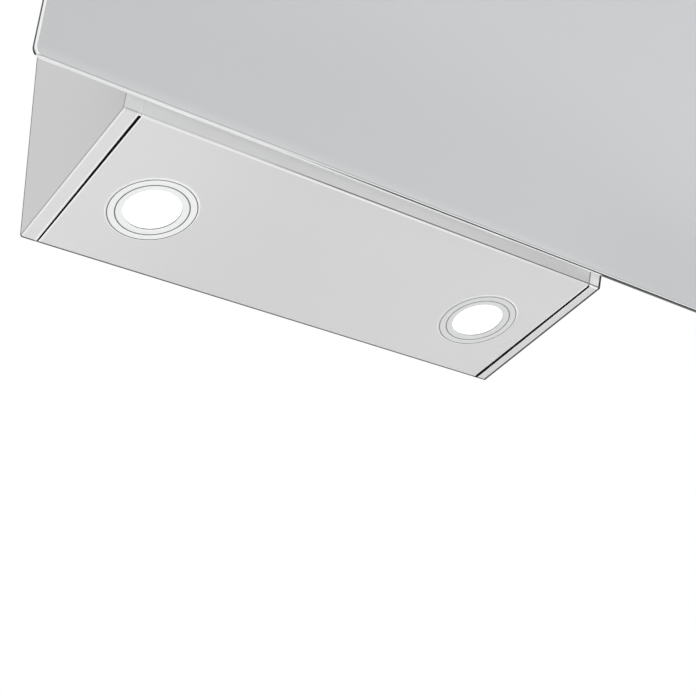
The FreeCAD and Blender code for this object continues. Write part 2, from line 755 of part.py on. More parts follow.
def hinges():
    """Two hinges between the front rail and the upper edge of the glass."""
    pins = []
    for side, sign in SIDES:
        x = f"{sign} * hinge_spacing / 2"
        place = ("-hinge_w", "hinge_v")
        plate = slab(f"{x} - hinge_plate_width / 2", f"{x} + hinge_plate_width / 2", "plate_front",
                     "panel_sheet", "front_length - hinge_plate_low", "rail_high")
        ears = []
        bores = []
        for turn in (-1, 1):
            ends = sorted((f"{x} + {turn} * hinge_ear_inner", f"{x} + {turn} * ear_outer"), key=amount)
            ears.append(slab(*ends, "-hinge_w", "panel_sheet",
                             "hinge_v - hinge_knuckle", "hinge_v + hinge_knuckle"))
            ears.append(rod("x", "hinge_knuckle", *ends, place))
        bores.append(rod("x", "hinge_pin", f"{x} - ear_outer - 1", f"{x} + ear_outer + 1", place))
        bores += [rod("y", "screw_shank", "plate_front - 1", "panel_sheet + 1", spot)
                  for spot in hinge_screw_places() if amount(spot[0]) * sign > 0]
        node(f"{side}_hinge_bracket", cut(fuse(plate, *ears), *bores), "sloped")

        reach = "(hinge_ear_inner - hinge_side_play)"
        barrel = rod("x", "hinge_knuckle", f"{x} - {reach}", f"{x} + {reach}", place)
        web = slab(f"{x} - {reach}", f"{x} + {reach}", "glass_back", "-hinge_w",
                   "hinge_v - arm_web", "hinge_v + arm_web")
        pad = slab(f"{x} - arm_plate_width / 2", f"{x} + arm_plate_width / 2", "glass_back",
                   "glass_back + hinge_plate_thick", "hinge_v - arm_plate_low", "hinge_v + arm_plate_high")
        bore = rod("x", "hinge_pin + hinge_play", f"{x} - hinge_ear_inner", f"{x} + hinge_ear_inner", place)
        node(f"{side}_hinge_arm", cut(fuse(barrel, web, pad), bore), "sloped")

        left, right = f"{x} - ear_outer", f"{x} + ear_outer"
        shank = rod("x", "hinge_pin", f"{left} - hinge_head_thick", f"{right} + hinge_head_thick", place)
        heads = [rod("x", "hinge_head", f"{left} - hinge_head_thick", left, place),
                 rod("x", "hinge_head", right, f"{right} + hinge_head_thick", place)]
        pins.append(fuse(shank, *heads))
    pair = doc.addObject("Part::Compound", "Pins")
    pair.Links = pins
    node("hinge_pins", pair, "sloped")

    screws = []
    for place in hinge_screw_places():
        shank = rod("y", "screw_shank", "plate_front", "2 * panel_sheet", place)
        head = rod("y", "screw_head", "plate_front - screw_head_thick", "plate_front", place)
        screws.append(fuse(shank, head))
    group = doc.addObject("Part::Compound", "Screws")
    group.Links = screws
    node("hinge_screws", group, "sloped")


def catches():
    """Magnetic catches on the lip and the strikes on the glass frame."""
    strikes = []
    for side, sign in SIDES:
        x = f"{sign} * catch_spacing / 2"
        body = slab(f"{x} - catch_width / 2", f"{x} + catch_width / 2", "-catch_depth", "0",
                    "catch_low", "catch_low + catch_height")
        node(f"{side}_catch", body, "sloped")
        strikes.append(slab(f"{x} - strike_width / 2", f"{x} + strike_width / 2",
                            "carrier_face", "-catch_depth",
                            "catch_low + strike_margin", "catch_low + catch_height - strike_margin"))
    pair = doc.addObject("Part::Compound", "Strikes")
    pair.Links = strikes
    node("catch_strikes", pair, "sloped")


def controls():
    """Five push buttons in a bezel, with the switch housing behind the glass."""
    half = "(control_half + bezel_margin - bezel_height / 2)"
    middle = slab(f"-{half}", half, "bezel_front", "glass_front",
                  "control_height - bezel_height / 2", "control_height + bezel_height / 2")
    ends = [rod("y", "bezel_height / 2", "bezel_front", "glass_front",
                (f"{sign} * {half}", "control_height")) for sign in (-1, 1)]
    holes = [rod("y", "button_radius + button_play", "bezel_front - 1", "glass_front + 1",
                 (x, "control_height")) for x in button_places()]
    node("control_bezel", cut(fuse(middle, *ends), *holes), "sloped")

    reach = "(control_half + housing_margin)"
    low, high = "control_height - housing_height / 2", "control_height + housing_height / 2"
    outer = slab(f"-{reach}", reach, "carrier_face", "housing_back", low, high)
    inner = slab(f"-{reach} + housing_wall", f"{reach} - housing_wall", "carrier_face - 1", "housing_floor",
                 f"{low} + housing_wall", f"{high} - housing_wall")
    node("switch_housing", cut(outer, inner), "sloped")

    board = slab(f"-{reach} + housing_wall", f"{reach} - housing_wall", "board_face", "housing_floor",
                 f"{low} + housing_wall", f"{high} - housing_wall")
    switches = [slab(f"{x} - switch_size / 2", f"{x} + switch_size / 2", "switch_face", "board_face",
                     "control_height - switch_size / 2", "control_height + switch_size / 2")
                for x in button_places()]
    node("switch_board", fuse(board, *switches), "sloped")

    for spot, x in enumerate(button_places(), 1):
        stem = rod("y", "button_radius", "bezel_front - button_proud", "switch_face - button_travel",
                   (x, "control_height"))
        collar = rod("y", "button_collar", "carrier_face", "carrier_face + button_collar_thick",
                     (x, "control_height"))
        node(f"button_{spot}", fuse(stem, collar), "sloped")


def scroll_face(inset, extra):
    """Spiral blower outline of three quarter arcs and an upward outlet."""
    cx, cz = amount("fan_x"), amount("fan_z")
    grow = amount("fan_growth")
    one, two, three = (amount(name) - inset for name in ("scroll_one", "scroll_two", "scroll_three"))
    top = amount("case_top") + extra

    def spot(centre, radius, angle):
        turn = math.radians(angle)
        return FreeCAD.Vector(centre[0] + radius * math.cos(turn), 0, centre[1] + radius * math.sin(turn))

    centres = ((cx, cz), (cx + grow, cz), (cx + grow, cz + grow))
    edges = []
    for centre, radius, start in zip(centres, (one, two, three), (90, 180, 270)):
        points = [spot(centre, radius, start + turn) for turn in (0, 45, 90)]
        edges.append(Part.Arc(*points).toShape())
    begin = edges[0].Vertexes[0].Point
    finish = spot(centres[2], three, 360)
    corners = [finish, FreeCAD.Vector(finish.x, 0, top), FreeCAD.Vector(cx + inset, 0, top)]
    if inset:
        corners.append(FreeCAD.Vector(cx + inset, 0, begin.z))
    corners.append(begin)
    edges += [Part.makeLine(a, b) for a, b in zip(corners, corners[1:])]
    return Part.Face(Part.Wire(edges))


def blower():
    """Scroll case, cover with inlet, guard, motor, shaft and impeller."""
    wall = amount("case_wall")
    outer = scroll_face(0, 0)
    outer.translate(FreeCAD.Vector(0, amount("case_back"), 0))
    inner = scroll_face(wall, 1)
    inner.translate(FreeCAD.Vector(0, amount("case_floor"), 0))
    deep = FreeCAD.Vector(0, -amount("case_depth"), 0)
    node("blower_case", solid(outer.extrude(deep).cut(inner.extrude(deep)), "Scroll"))

    lid = scroll_face(0, 0)
    lid.translate(FreeCAD.Vector(0, amount("case_front"), 0))
    plate = solid(lid.extrude(FreeCAD.Vector(0, -wall, 0)), "Lid")
    place = ("fan_x", "fan_z")
    inlet = rod("y", "inlet_radius", "case_front - 2 * case_wall", "case_front + 1", place)
    node("blower_cover", cut(plate, inlet))

    front = "case_front - case_wall - guard_bar"
    back = "case_front - case_wall"
    count = int(SIZES["guard_rings"])
    rings = []
    for ring in range(1, count + 1):
        size = f"inlet_radius * {ring} / {count} + guard_bar"
        rings.append(cut(rod("y", size, front, back, place),
                         rod("y", f"{size} - guard_bar", f"{front} - 1", f"{back} + 1", place)))
    spokes = [slab("fan_x - inlet_radius - guard_bar / 2", "fan_x + inlet_radius + guard_bar / 2",
                   front, back, "fan_z - guard_bar / 2", "fan_z + guard_bar / 2"),
              slab("fan_x - guard_bar / 2", "fan_x + guard_bar / 2", front, back,
                   "fan_z - inlet_radius - guard_bar / 2", "fan_z + inlet_radius + guard_bar / 2")]
    node("inlet_guard", fuse(*rings, *spokes))

    case = fuse(rod("y", "motor_radius", "motor_end", "case_floor", place),
                rod("y", "motor_flange", "case_floor - motor_flange_thick", "case_floor", place),
                rod("y", "motor_boss", "boss_end", "motor_end", place))
    bore = rod("y", "shaft_radius + shaft_play", "boss_end - 1", "boss_end + motor_bore_depth", place)
    node("motor_case", cut(case, bore))
    shaft = rod("y", "shaft_radius", "boss_end - shaft_front", "boss_end + motor_bore_depth - 1", place)
    node("motor_shaft", shaft)
    node("fan_wheel", impeller(place))


def impeller(place):
    """Dished wheel with forward-curved blades between a back plate and a front ring."""
    end = "(fan_back - fan_plate - fan_blade_length)"
    rim = rod("y", "fan_radius", "fan_back - fan_plate", "fan_back", place)
    cup = rod("y", "cup_radius + fan_plate", "hub_back - fan_plate", "fan_back", place)
    hub = rod("y", "fan_hub", "hub_back - fan_hub_length", "hub_back", place)
    well = rod("y", "cup_radius", "hub_back", "fan_back + 1", place)
    bore = rod("y", "shaft_radius", "hub_back - fan_hub_length - 1", "hub_back + 1", place)
    ring = cut(rod("y", "fan_radius", end, f"{end} + fan_plate", place),
               rod("y", "fan_blade_inner - fan_plate", f"{end} - 1", f"{end} + fan_plate + 1", place))
    core = cut(fuse(rim, cup, hub), well, bore)
    doc.recompute()

    inner, outer = amount("fan_blade_inner"), amount("fan_radius - fan_blade_inset")
    lean = math.radians(amount("fan_blade_lean"))
    half = amount("fan_blade_thick") / 2
    middle = (inner + outer) / 2
    start = FreeCAD.Vector(amount("fan_x"), amount("fan_back - fan_plate / 2"), amount("fan_z"))

    def spot(radius, angle):
        return FreeCAD.Vector(radius * math.cos(angle), 0, radius * math.sin(angle))

    def arc(side):
        ends = ((inner, 0), (middle, lean / 4), (outer, lean))
        return Part.Arc(*[spot(radius, angle + side * half / radius) for radius, angle in ends])

    near, far = arc(-1), arc(1)
    sides = [near.toShape(), Part.makeLine(near.EndPoint, far.EndPoint),
             far.toShape(), Part.makeLine(far.StartPoint, near.StartPoint)]
    face = Part.Face(Part.Wire(Part.__sortEdges__(sides)))
    face.translate(start)
    blade = face.extrude(FreeCAD.Vector(0, -amount("fan_blade_length"), 0))
    count = int(SIZES["fan_blades"])
    blades = []
    for spot_number in range(count):
        copy = blade.copy()
        copy.rotate(start, FreeCAD.Vector(0, 1, 0), 360 * spot_number / count)
        blades.append(copy)
    return fuse(core, ring, solid(Part.makeCompound(blades), "Blades"))


def outlet():
    """Duct from the blower to the collar, collar on its square flange, spindle and two damper flaps."""
    place = ("0", "-collar_setback")
    half = "(fan_growth + scroll_three) / 2"
    node("outlet_duct", duct_loft(amount(half), amount("case_back"), amount("case_front - case_wall")))

    tube = rod("z", "collar_radius", "top_high", "collar_top", place)
    flange = slab("-collar_flange", "collar_flange", "-collar_setback - collar_flange",
                  "-collar_setback + collar_flange", "top_high", "top_high + collar_flange_thick")
    ledge_low = "damper_z - flap_thick / 2 - damper_ledge_thick"
    below = rod("z", "collar_inner", "top_high - 1", ledge_low, place)
    above = rod("z", "collar_inner", "damper_z - flap_thick / 2", "collar_top + 1", place)
    throat = rod("z", "collar_inner - damper_ledge", "top_high", "collar_top", place)
    pivot = rod("x", "spindle_radius", "-collar_radius - 1", "collar_radius + 1",
                ("-collar_setback", "damper_z"))
    relief = slab("-collar_inner", "collar_inner", "-collar_setback - flap_slot",
                  "-collar_setback + flap_slot", f"{ledge_low} - 1", "damper_z")
    node("outlet_collar", cut(fuse(tube, flange), below, above, throat, pivot, relief))
    spindle = rod("x", "spindle_radius", "-collar_radius", "collar_radius", ("-collar_setback", "damper_z"))
    node("damper_spindle", spindle)

    for label, sign in (("front", -1), ("rear", 1)):
        disc = rod("z", "collar_inner - flap_play", "damper_z - flap_thick / 2",
                   "damper_z + flap_thick / 2", place)
        limits = sorted((f"-collar_setback - {sign} * collar_radius",
                         f"-collar_setback + {sign} * flap_slot"), key=amount)
        off = slab("-collar_radius", "collar_radius", *limits, "damper_z - 5", "damper_z + 5")
        plate = cut(disc, off)
        shifts = (-2, 0) if sign < 0 else (-1, 1)
        starts = [f"{shift} * (flap_knuckle_length + flap_knuckle_gap)" for shift in shifts]
        barrels = []
        for start in starts:
            first = f"{start} + flap_knuckle_gap / 2"
            last = f"{start} + flap_knuckle_gap / 2 + flap_knuckle_length"
            barrels.append(rod("x", "flap_knuckle", first, last, ("-collar_setback", "damper_z")))
            ends = sorted(("-collar_setback", f"-collar_setback + {sign} * (flap_slot + 1)"), key=amount)
            barrels.append(slab(first, last, *ends, "damper_z - flap_thick / 2", "damper_z + flap_thick / 2"))
        bore = rod("x", "spindle_radius + spindle_play", "-collar_radius", "collar_radius",
                   ("-collar_setback", "damper_z"))
        node(f"{label}_damper_flap", cut(fuse(plate, *barrels), bore))


def duct_loft(half, back, front):
    """Loft from the blower's square outlet to the round bore of the collar."""
    def section(inset, low, high):
        corners = [(-half + inset, front + inset), (half - inset, front + inset),
                   (half - inset, back - inset), (-half + inset, back - inset)]
        points = [FreeCAD.Vector(x, y, low) for x, y in corners]
        square = Part.makePolygon(points + points[:1])
        centre = FreeCAD.Vector(0, -amount("collar_setback"), high)
        radius = amount("collar_inner + duct_wall") - inset
        turns = (225, 315, 45, 135, 225)
        arcs = []
        for first, last in zip(turns, turns[1:]):
            last = last if last > first else last + 360
            spots = []
            for angle in (first, (first + last) / 2, last):
                turn = math.radians(angle)
                spots.append(centre + FreeCAD.Vector(radius * math.cos(turn), radius * math.sin(turn), 0))
            arcs.append(Part.Arc(*spots).toShape())
        return Part.makeLoft([square, Part.Wire(arcs)], True, True)
    low, high = amount("case_top"), amount("top_high")
    outer = section(0, low, high)
    inner = section(amount("duct_wall"), low, high)
    return solid(outer.cut(inner), "Duct")


def electrics():
    """Terminal box on the wall plate and the cable gland in the top plate."""
    outer = slab("-box_width / 2", "box_width / 2", "-panel_sheet - box_depth", "-panel_sheet",
                 "box_low", "box_low + box_height")
    inner = slab("-box_width / 2 + box_wall", "box_width / 2 - box_wall",
                 "-panel_sheet - box_depth + box_wall", "-panel_sheet - box_wall",
                 "box_low + box_wall", "box_low + box_height - box_wall")
    node("terminal_box", cut(outer, inner))

    profile = [
        ("gland_bore", "top_low - gland_nut_thick"),
        ("gland_nut", "top_low - gland_nut_thick"),
        ("gland_nut", "top_low"),
        ("gland_thread", "top_low"),
        ("gland_thread", "top_high"),
        ("gland_nut", "top_high"),
        ("gland_nut", "top_high + gland_nut_thick"),
        ("gland_bore + (gland_nut - gland_bore) / 2", "gland_top"),
        ("gland_bore", "gland_top"),
    ]
    body = turned(profile)
    put(body, "gland_across", "-gland_setback")
    node("cable_gland", body)


def chimney_profile(half, depth):
    """Channel outline with a return along each rear edge."""
    inside = f"({half}) - chimney_sheet"
    lip = f"({half}) - chimney_return"
    right = [(half, "0"), (lip, "0"), (lip, "-chimney_sheet"), (inside, "-chimney_sheet"),
             (inside, f"-({depth}) + chimney_sheet")]
    left = [(f"-({x})", y) for x, y in reversed(right)]
    return [(f"-({half})", f"-({depth})"), (half, f"-({depth})")] + right + left


def chimney():
    """Telescoping chimney covers and the wall bracket inside them."""
    lower = prism("XY_Plane", chimney_profile("chimney_width / 2", "chimney_depth"), "chimney_height")
    put(lower, z="top_high")
    node("lower_chimney", lower)

    upper = prism("XY_Plane", upper_profile(), "upper_height")
    put(upper, z="top_high")
    vents = []
    for spot in range(int(SIZES["vent_count"])):
        high = f"upper_top - vent_drop - {spot} * vent_pitch"
        vents.append(slab("-chimney_width / 2", "chimney_width / 2",
                          "-vent_setback - vent_length", "-vent_setback", f"{high} - vent_height", high))
    node("upper_chimney", cut(upper, *vents))

    low = "bracket_high - bracket_height"
    plate = slab("-bracket_width / 2", "bracket_width / 2", "-bracket_thick", "0", low, "bracket_high")
    arms = []
    for sign in (-1, 1):
        limits = sorted((f"{sign} * (bracket_width / 2 - bracket_thick)", f"{sign} * bracket_width / 2"),
                        key=amount)
        arms.append(slab(*limits, "-bracket_arm", "0", low, "bracket_high"))
    holes = [rod("y", "bracket_hole / 2", "-2 * bracket_thick", "1",
                 (f"{sign} * bracket_spacing / 2", "bracket_high - bracket_height / 2")) for sign in (-1, 1)]
    node("chimney_bracket", cut(fuse(plate, *arms), *holes))


def upper_profile():
    """Inner channel: clears the outer one on three sides and its rear returns."""
    inside = "upper_half - chimney_sheet"
    rear = "-(chimney_sheet + chimney_play)"
    right = [("upper_half", rear), (inside, rear), (inside, "-upper_depth + chimney_sheet")]
    left = [(f"-({x})", y) for x, y in reversed(right)]
    return [("-(upper_half)", "-upper_depth"), ("upper_half", "-upper_depth")] + right + left


side_panels()
back_panel()
top_panel()
front_rail()
lamp_panel()
lamps()
filter_tray()
filter_post()
filters()
glass()
hinges()
catches()
controls()
blower()
outlet()
electrics()
chimney()
doc.recompute()

for item in doc.Objects:
    if "Invalid" in item.State or "Error" in item.State:
        raise RuntimeError(f"{item.Label} ({item.Name}) did not compute: {item.State}")

os.makedirs("parts", exist_ok=True)
for held in nodes:
    if held.Shape.isNull() or not held.Shape.isValid() or not held.Shape.Solids:
        raise RuntimeError(f"{held.Label} has no valid solid")
    held.Shape.exportStep(os.path.join("parts", held.Label + ".step"))
print(f"{len(nodes)} sub-parts written")
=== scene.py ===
import json

import bmesh
import bpy
import numpy as np
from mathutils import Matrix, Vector


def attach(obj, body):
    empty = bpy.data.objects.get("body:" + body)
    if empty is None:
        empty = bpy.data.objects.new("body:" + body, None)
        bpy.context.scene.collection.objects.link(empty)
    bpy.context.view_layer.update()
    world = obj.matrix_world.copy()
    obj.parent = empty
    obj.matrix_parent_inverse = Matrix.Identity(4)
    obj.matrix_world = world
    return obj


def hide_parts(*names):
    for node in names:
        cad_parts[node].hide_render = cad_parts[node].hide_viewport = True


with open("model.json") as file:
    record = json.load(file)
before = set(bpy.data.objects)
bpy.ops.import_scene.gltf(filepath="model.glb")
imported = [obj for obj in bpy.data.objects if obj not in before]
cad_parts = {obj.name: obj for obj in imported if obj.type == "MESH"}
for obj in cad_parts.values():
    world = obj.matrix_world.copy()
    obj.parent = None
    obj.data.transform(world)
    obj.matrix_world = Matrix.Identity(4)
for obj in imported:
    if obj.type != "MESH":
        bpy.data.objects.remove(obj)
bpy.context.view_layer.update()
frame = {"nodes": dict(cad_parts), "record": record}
nodes = frame["nodes"]
scene = bpy.context.scene

# lengths are in metres and angles in degrees, in the frame of the solids
hoodFrame = {
    "hangHeight": 0.370,     # lower rear edge of the body up to the origin
    "bottomDepth": 0.1402,   # underside, from the wall to the front fold
    "bottomTilt": 15.0,
    "frontSlope": 15.0,
}
sideSigns = {"left": -1, "right": 1}
meshRules = {
    "merge": 2e-7, "flat": 1e-7,   # points nearer than this are one, and faces thinner than this go
    "sharp": 40,                   # edges that bend more stay sharp
    "cornerShare": 0.45,           # most of a side that one softened corner may take
    "tiny": 1e-9,                  # keeps a division away from zero
}


def tilted(angle, base):
    # a frame turned about X: Y and Z turn by the angle, X stays, then the base is added
    c, s = np.cos(np.radians(angle)), np.sin(np.radians(angle))
    turn = np.array([[1, 0, 0], [0, c, s], [0, -s, c]])
    return lambda points: points @ turn + np.array(base)


tilt = np.radians(hoodFrame["bottomTilt"])
foldY = -hoodFrame["bottomDepth"] * np.cos(tilt)
foldZ = hoodFrame["bottomDepth"] * np.sin(tilt) - hoodFrame["hangHeight"]
bottomFace = (-hoodFrame["bottomTilt"], (0, 0, -hoodFrame["hangHeight"]))   # starts at the wall
frontFace = (hoodFrame["frontSlope"], (0, foldY, foldZ))                    # starts at the fold
onBottom = tilted(*bottomFace)
onFront = tilted(*frontFace)


def surface(name, points, wrapRows=False, wrapCols=False, sharp=meshRules["sharp"]):
    # points[part, row, column] is a grid of positions: neighbours are joined by quads, the last
    # to the first where the grid wraps, and a row that shrinks to one point becomes a pole
    parts, rows, cols = points.shape[:3]
    part, row, col = np.meshgrid(np.arange(parts), np.arange(rows if wrapRows else rows - 1),
                                 np.arange(cols if wrapCols else cols - 1), indexing="ij")
    steps = ((0, 0), (0, 1), (1, 1), (1, 0))
    corners = [(part * rows + (row + down) % rows) * cols + (col + over) % cols for down, over in steps]
    loops = np.stack(corners, -1).reshape(-1).astype(np.int32)
    flow = [np.stack([(col + over) / cols, (row + down) / rows], -1) for down, over in steps]
    flow = np.stack(flow, -2).reshape(-1).astype(np.float32)
    mesh = bpy.data.meshes.new(name)
    mesh.vertices.add(points.size // 3)
    mesh.vertices.foreach_set("co", points.reshape(-1).astype(np.float32))
    mesh.loops.add(loops.size)
    mesh.loops.foreach_set("vertex_index", loops)
    mesh.polygons.add(loops.size // 4)
    mesh.polygons.foreach_set("loop_start", np.arange(0, loops.size, 4, dtype=np.int32))
    mesh.uv_layers.new(name="flow").data.foreach_set("uv", flow)
    mesh.update(calc_edges=True)
    work = bmesh.new()
    work.from_mesh(mesh)
    bmesh.ops.remove_doubles(work, verts=work.verts, dist=meshRules["merge"])
    bmesh.ops.dissolve_degenerate(work, dist=meshRules["flat"], edges=work.edges)
    bmesh.ops.recalc_face_normals(work, faces=work.faces)
    work.to_mesh(mesh)
    work.free()
    mesh.polygons.foreach_set("use_smooth", np.ones(len(mesh.polygons), dtype=bool))
    mesh.set_sharp_from_angle(angle=np.radians(sharp))
    piece = bpy.data.objects.new(name, mesh)
    scene.collection.objects.link(piece)
    return piece


def settle(piece, body, slot, finish, *standsFor):
    # puts a finished piece on its body, with its finish and the nodes that it stands for
    piece.data.materials.append(finish)
    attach(piece, body)
    if standsFor:
        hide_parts(*standsFor)


def softened(corners, back, steps=5):
    # a closed outline whose corners become quadratic curves, between points set back along the sides
    corners = np.asarray(corners, float)
    before, after = np.roll(corners, 1, 0) - corners, np.roll(corners, -1, 0) - corners
    reach = [np.linalg.norm(side, axis=1) for side in (before, after)]
    most = meshRules["cornerShare"] * np.minimum(*reach)
    back = np.minimum(np.broadcast_to(back, len(corners)), most)[:, None]
    start = (corners + before / reach[0][:, None] * back)[:, None]
    end = (corners + after / reach[1][:, None] * back)[:, None]
    t = np.linspace(0, 1, steps)[None, :, None]
    curve = (1 - t) ** 2 * start + 2 * t * (1 - t) * corners[:, None] + t ** 2 * end
    return curve.reshape(-1, 2)


def turned(profile, count):
    # every profile point (radius, height) goes round the Z axis in equal steps
    angle = np.linspace(0, 2 * np.pi, count, endpoint=False)
    radius, height = profile[:, 0, None], profile[:, 1, None]
    return np.stack([radius * np.cos(angle), radius * np.sin(angle), height + 0 * angle], -1)


def roundedRing(halfX, halfZ, radius, cornerSteps, sideSteps):
    # a rounded rectangle as arc centres and outward directions: centre + r * direction is its line,
    # and a smaller r moves the whole line inwards by the same amount
    centres = np.array([[1, 1], [-1, 1], [-1, -1], [1, -1]]) * (np.array([halfX, halfZ]) - radius)
    turn = np.radians(np.arange(0, 360, 90))[:, None] + np.linspace(0, np.pi / 2, cornerSteps)
    t = np.linspace(0, 1, sideSteps + 2)[None, 1:-1, None]
    along = centres[:, None] * (1 - t) + np.roll(centres, -1, 0)[:, None] * t
    centre = np.concatenate([np.repeat(centres[:, None], cornerSteps, 1), along], 1).reshape(-1, 2)
    angle = np.concatenate([turn, np.repeat(turn[:, -1:], sideSteps, 1)], 1).reshape(-1)
    return centre, np.stack([np.cos(angle), np.sin(angle)], -1)


class Wire:
    # a socket of a node tree; sums on it add Math nodes, and node() makes any other node
    def __init__(self, tree, socket=None):
        self.tree = tree
        self.socket = socket

    def node(self, kind, settings=None, inputs=None, out=0):
        made = self.tree.nodes.new(kind)
        for key, value in (settings or {}).items():
            setattr(made, key, value)
        for key, value in (inputs or {}).items():
            if isinstance(value, Wire):
                self.tree.links.new(value.socket, made.inputs[key])
            else:
                made.inputs[key].default_value = value
        return Wire(self.tree, made.outputs[out] if len(made.outputs) else None)

    def maths(self, operation, *values):
        return self.node("ShaderNodeMath", {"operation": operation}, dict(enumerate(values)))

    def __add__(self, other):
        return self.maths("ADD", self, other)

    def __radd__(self, other):
        return self.maths("ADD", other, self)

    def __sub__(self, other):
        return self.maths("SUBTRACT", self, other)

    def __rsub__(self, other):
        return self.maths("SUBTRACT", other, self)

    def __mul__(self, other):
        return self.maths("MULTIPLY", self, other)

    def __rmul__(self, other):
        return self.maths("MULTIPLY", other, self)

    def __truediv__(self, other):
        return self.maths("DIVIDE", self, other)

    def __rtruediv__(self, other):
        return self.maths("DIVIDE", other, self)

    def __gt__(self, other):
        return self.maths("GREATER_THAN", self, other)

    def __lt__(self, other):
        return self.maths("LESS_THAN", self, other)

    def __abs__(self):
        return self.maths("ABSOLUTE", self)

    def within(self, low, high):
        # 1 where this value lies between low and high
        return (self > low) * (self < high)

    def either(self, *others):
        # the largest of several masks
        largest = self
        for other in others:
            largest = self.maths("MAXIMUM", largest, other)
        return largest

    def scaled(self, low, high):
        # this value brought from 0 to 1 onto the range low to high
        return self * (high - low) + low

    def spread(self, low, high):
        # this value brought from the range low to high onto 0 to 1, smoothly
        return self.node("ShaderNodeMapRange", {"interpolation_type": "SMOOTHSTEP"},
                         {0: self, 1: low, 2: high, 3: 0.0, 4: 1.0})

    def mixed(self, first, second):
        # the colour that runs from first to second as this value goes from 0 to 1
        return self.node("ShaderNodeMix", {"data_type": "RGBA"}, {0: self, 6: first, 7: second}, 2)


def startFinish(name):
    material = bpy.data.materials.new(name)
    material.use_nodes = True
    material.node_tree.nodes.clear()
    return material, Wire(material.node_tree)


def closeFinish(wire, inputs):
    shader = wire.node("ShaderNodeBsdfPrincipled", None, inputs)
    wire.node("ShaderNodeOutputMaterial", None, {"Surface": shader})


def place(wire, turn=0.0, scale=(1, 1, 1)):
    # object coordinates, turned about X and stretched
    spot = wire.node("ShaderNodeTexCoord", None, None, "Object")
    return wire.node("ShaderNodeMapping", None,
                     {"Vector": spot, "Rotation": (np.radians(turn), 0, 0), "Scale": scale})


def axis(wire, vector, letter):
    return wire.node("ShaderNodeSeparateXYZ", None, {0: vector}, letter)


def facePlace(wire, spot, angle, base):
    # Y and Z in the frame of a tilted face, which undoes tilted(), from object coordinates
    c, s = np.cos(np.radians(angle)), np.sin(np.radians(angle))
    moved = wire.node("ShaderNodeVectorMath", {"operation": "SUBTRACT"}, {0: spot, 1: base})
    y, z = (axis(wire, moved, letter) for letter in "YZ")
    return y * c + z * s, z * c - y * s


def flowMap(wire):
    # the grid of a surface: U runs over its columns and V over its rows
    return wire.node("ShaderNodeUVMap", {"uv_map": "flow"})


def noise(wire, vector, scale, detail=2.0, rough=0.5):
    return wire.node("ShaderNodeTexNoise", None,
                     {"Vector": vector, "Scale": scale, "Detail": detail, "Roughness": rough})


def bump(wire, height, strength, distance):
    return wire.node("ShaderNodeBump", None,
                     {"Strength": strength, "Distance": distance, "Height": height})


def grey(value, tint=(1.0, 1.0, 1.0)):
    return (value * tint[0], value * tint[1], value * tint[2], 1.0)


def layered(coat, *layers):
    # each layer is a mask and the colour that it lays over the ones before it
    for mask, colour in layers:
        coat = mask.mixed(coat, colour)
    return coat


# in every finish, rough is the least and most roughness, and a bump has a strength and a depth
whitePaint = {
    "light": 0.695, "dark": 0.67, "patch": 7.0, "peel": 1500.0,
    "rough": (0.35, 0.45), "bump": (0.10, 0.00012), "shine": 0.45,
    "skin": 0.0013,                         # depth that counts as the face itself
    "gap": 0.20575, "gapHalf": 0.0010, "side": 0.21825,
    "litLeftTone": 0.76, "leftStart": -0.22, "leftStop": -0.05,   # painted light: paler left end of the underside
    "rearDark": 0.08, "rearDarkWidth": 0.0012, "rearDarkTop": 0.0565,     # dark line along the rear edge of the body, at the wall
    "bright": 0.99, "lineWidth": 0.0012, "seam": 0.0011,      # painted highlights along gaps and seams
    "lampAcross": 0.1515, "lampSetback": 0.0645, "lampRim": 0.0328,   # and a ring round each lamp
    "edge": 0.03, "edgeWidth": 0.0034,      # painted shade: dark line along the outer bend on the right
    "bendShade": 0.42, "bendWidth": 0.0005, "bendHighlight": 0.0010,    # painted shade on the left one, grey by a painted highlight
    "fold": 0.0005, "foldUnder": 0.0003, "foldTone": 0.84,    # painted highlight along the fold of the lip
    "foldHigh": 0.0014, "foldShade": 0.20,  # shade above it, which grows to the right
    "shadeStart": -0.13, "shadeFull": -0.04, "shadeLeast": 0.28,
    "flange": 0.77, "frontFlange": 0.99,    # painted light: paler left flange under the body and right flange in front
    "frontLow": 0.016, "frontHigh": 0.044,  # heights between which the front tones fade out
    "lipStart": 0.0, "lipStop": 0.26,       # painted shade: the lip darkens to the right and along its fold
    "lipFoot": 0.92, "lipFootEnd": 0.68, "lipBrow": 0.99, "lipBrowEnd": 0.85,
    "footHigh": 0.002, "browHigh": 0.012,
    "joint": 0.25, "jointWidth": 0.0010,    # dark seam at the right end of the lip
}


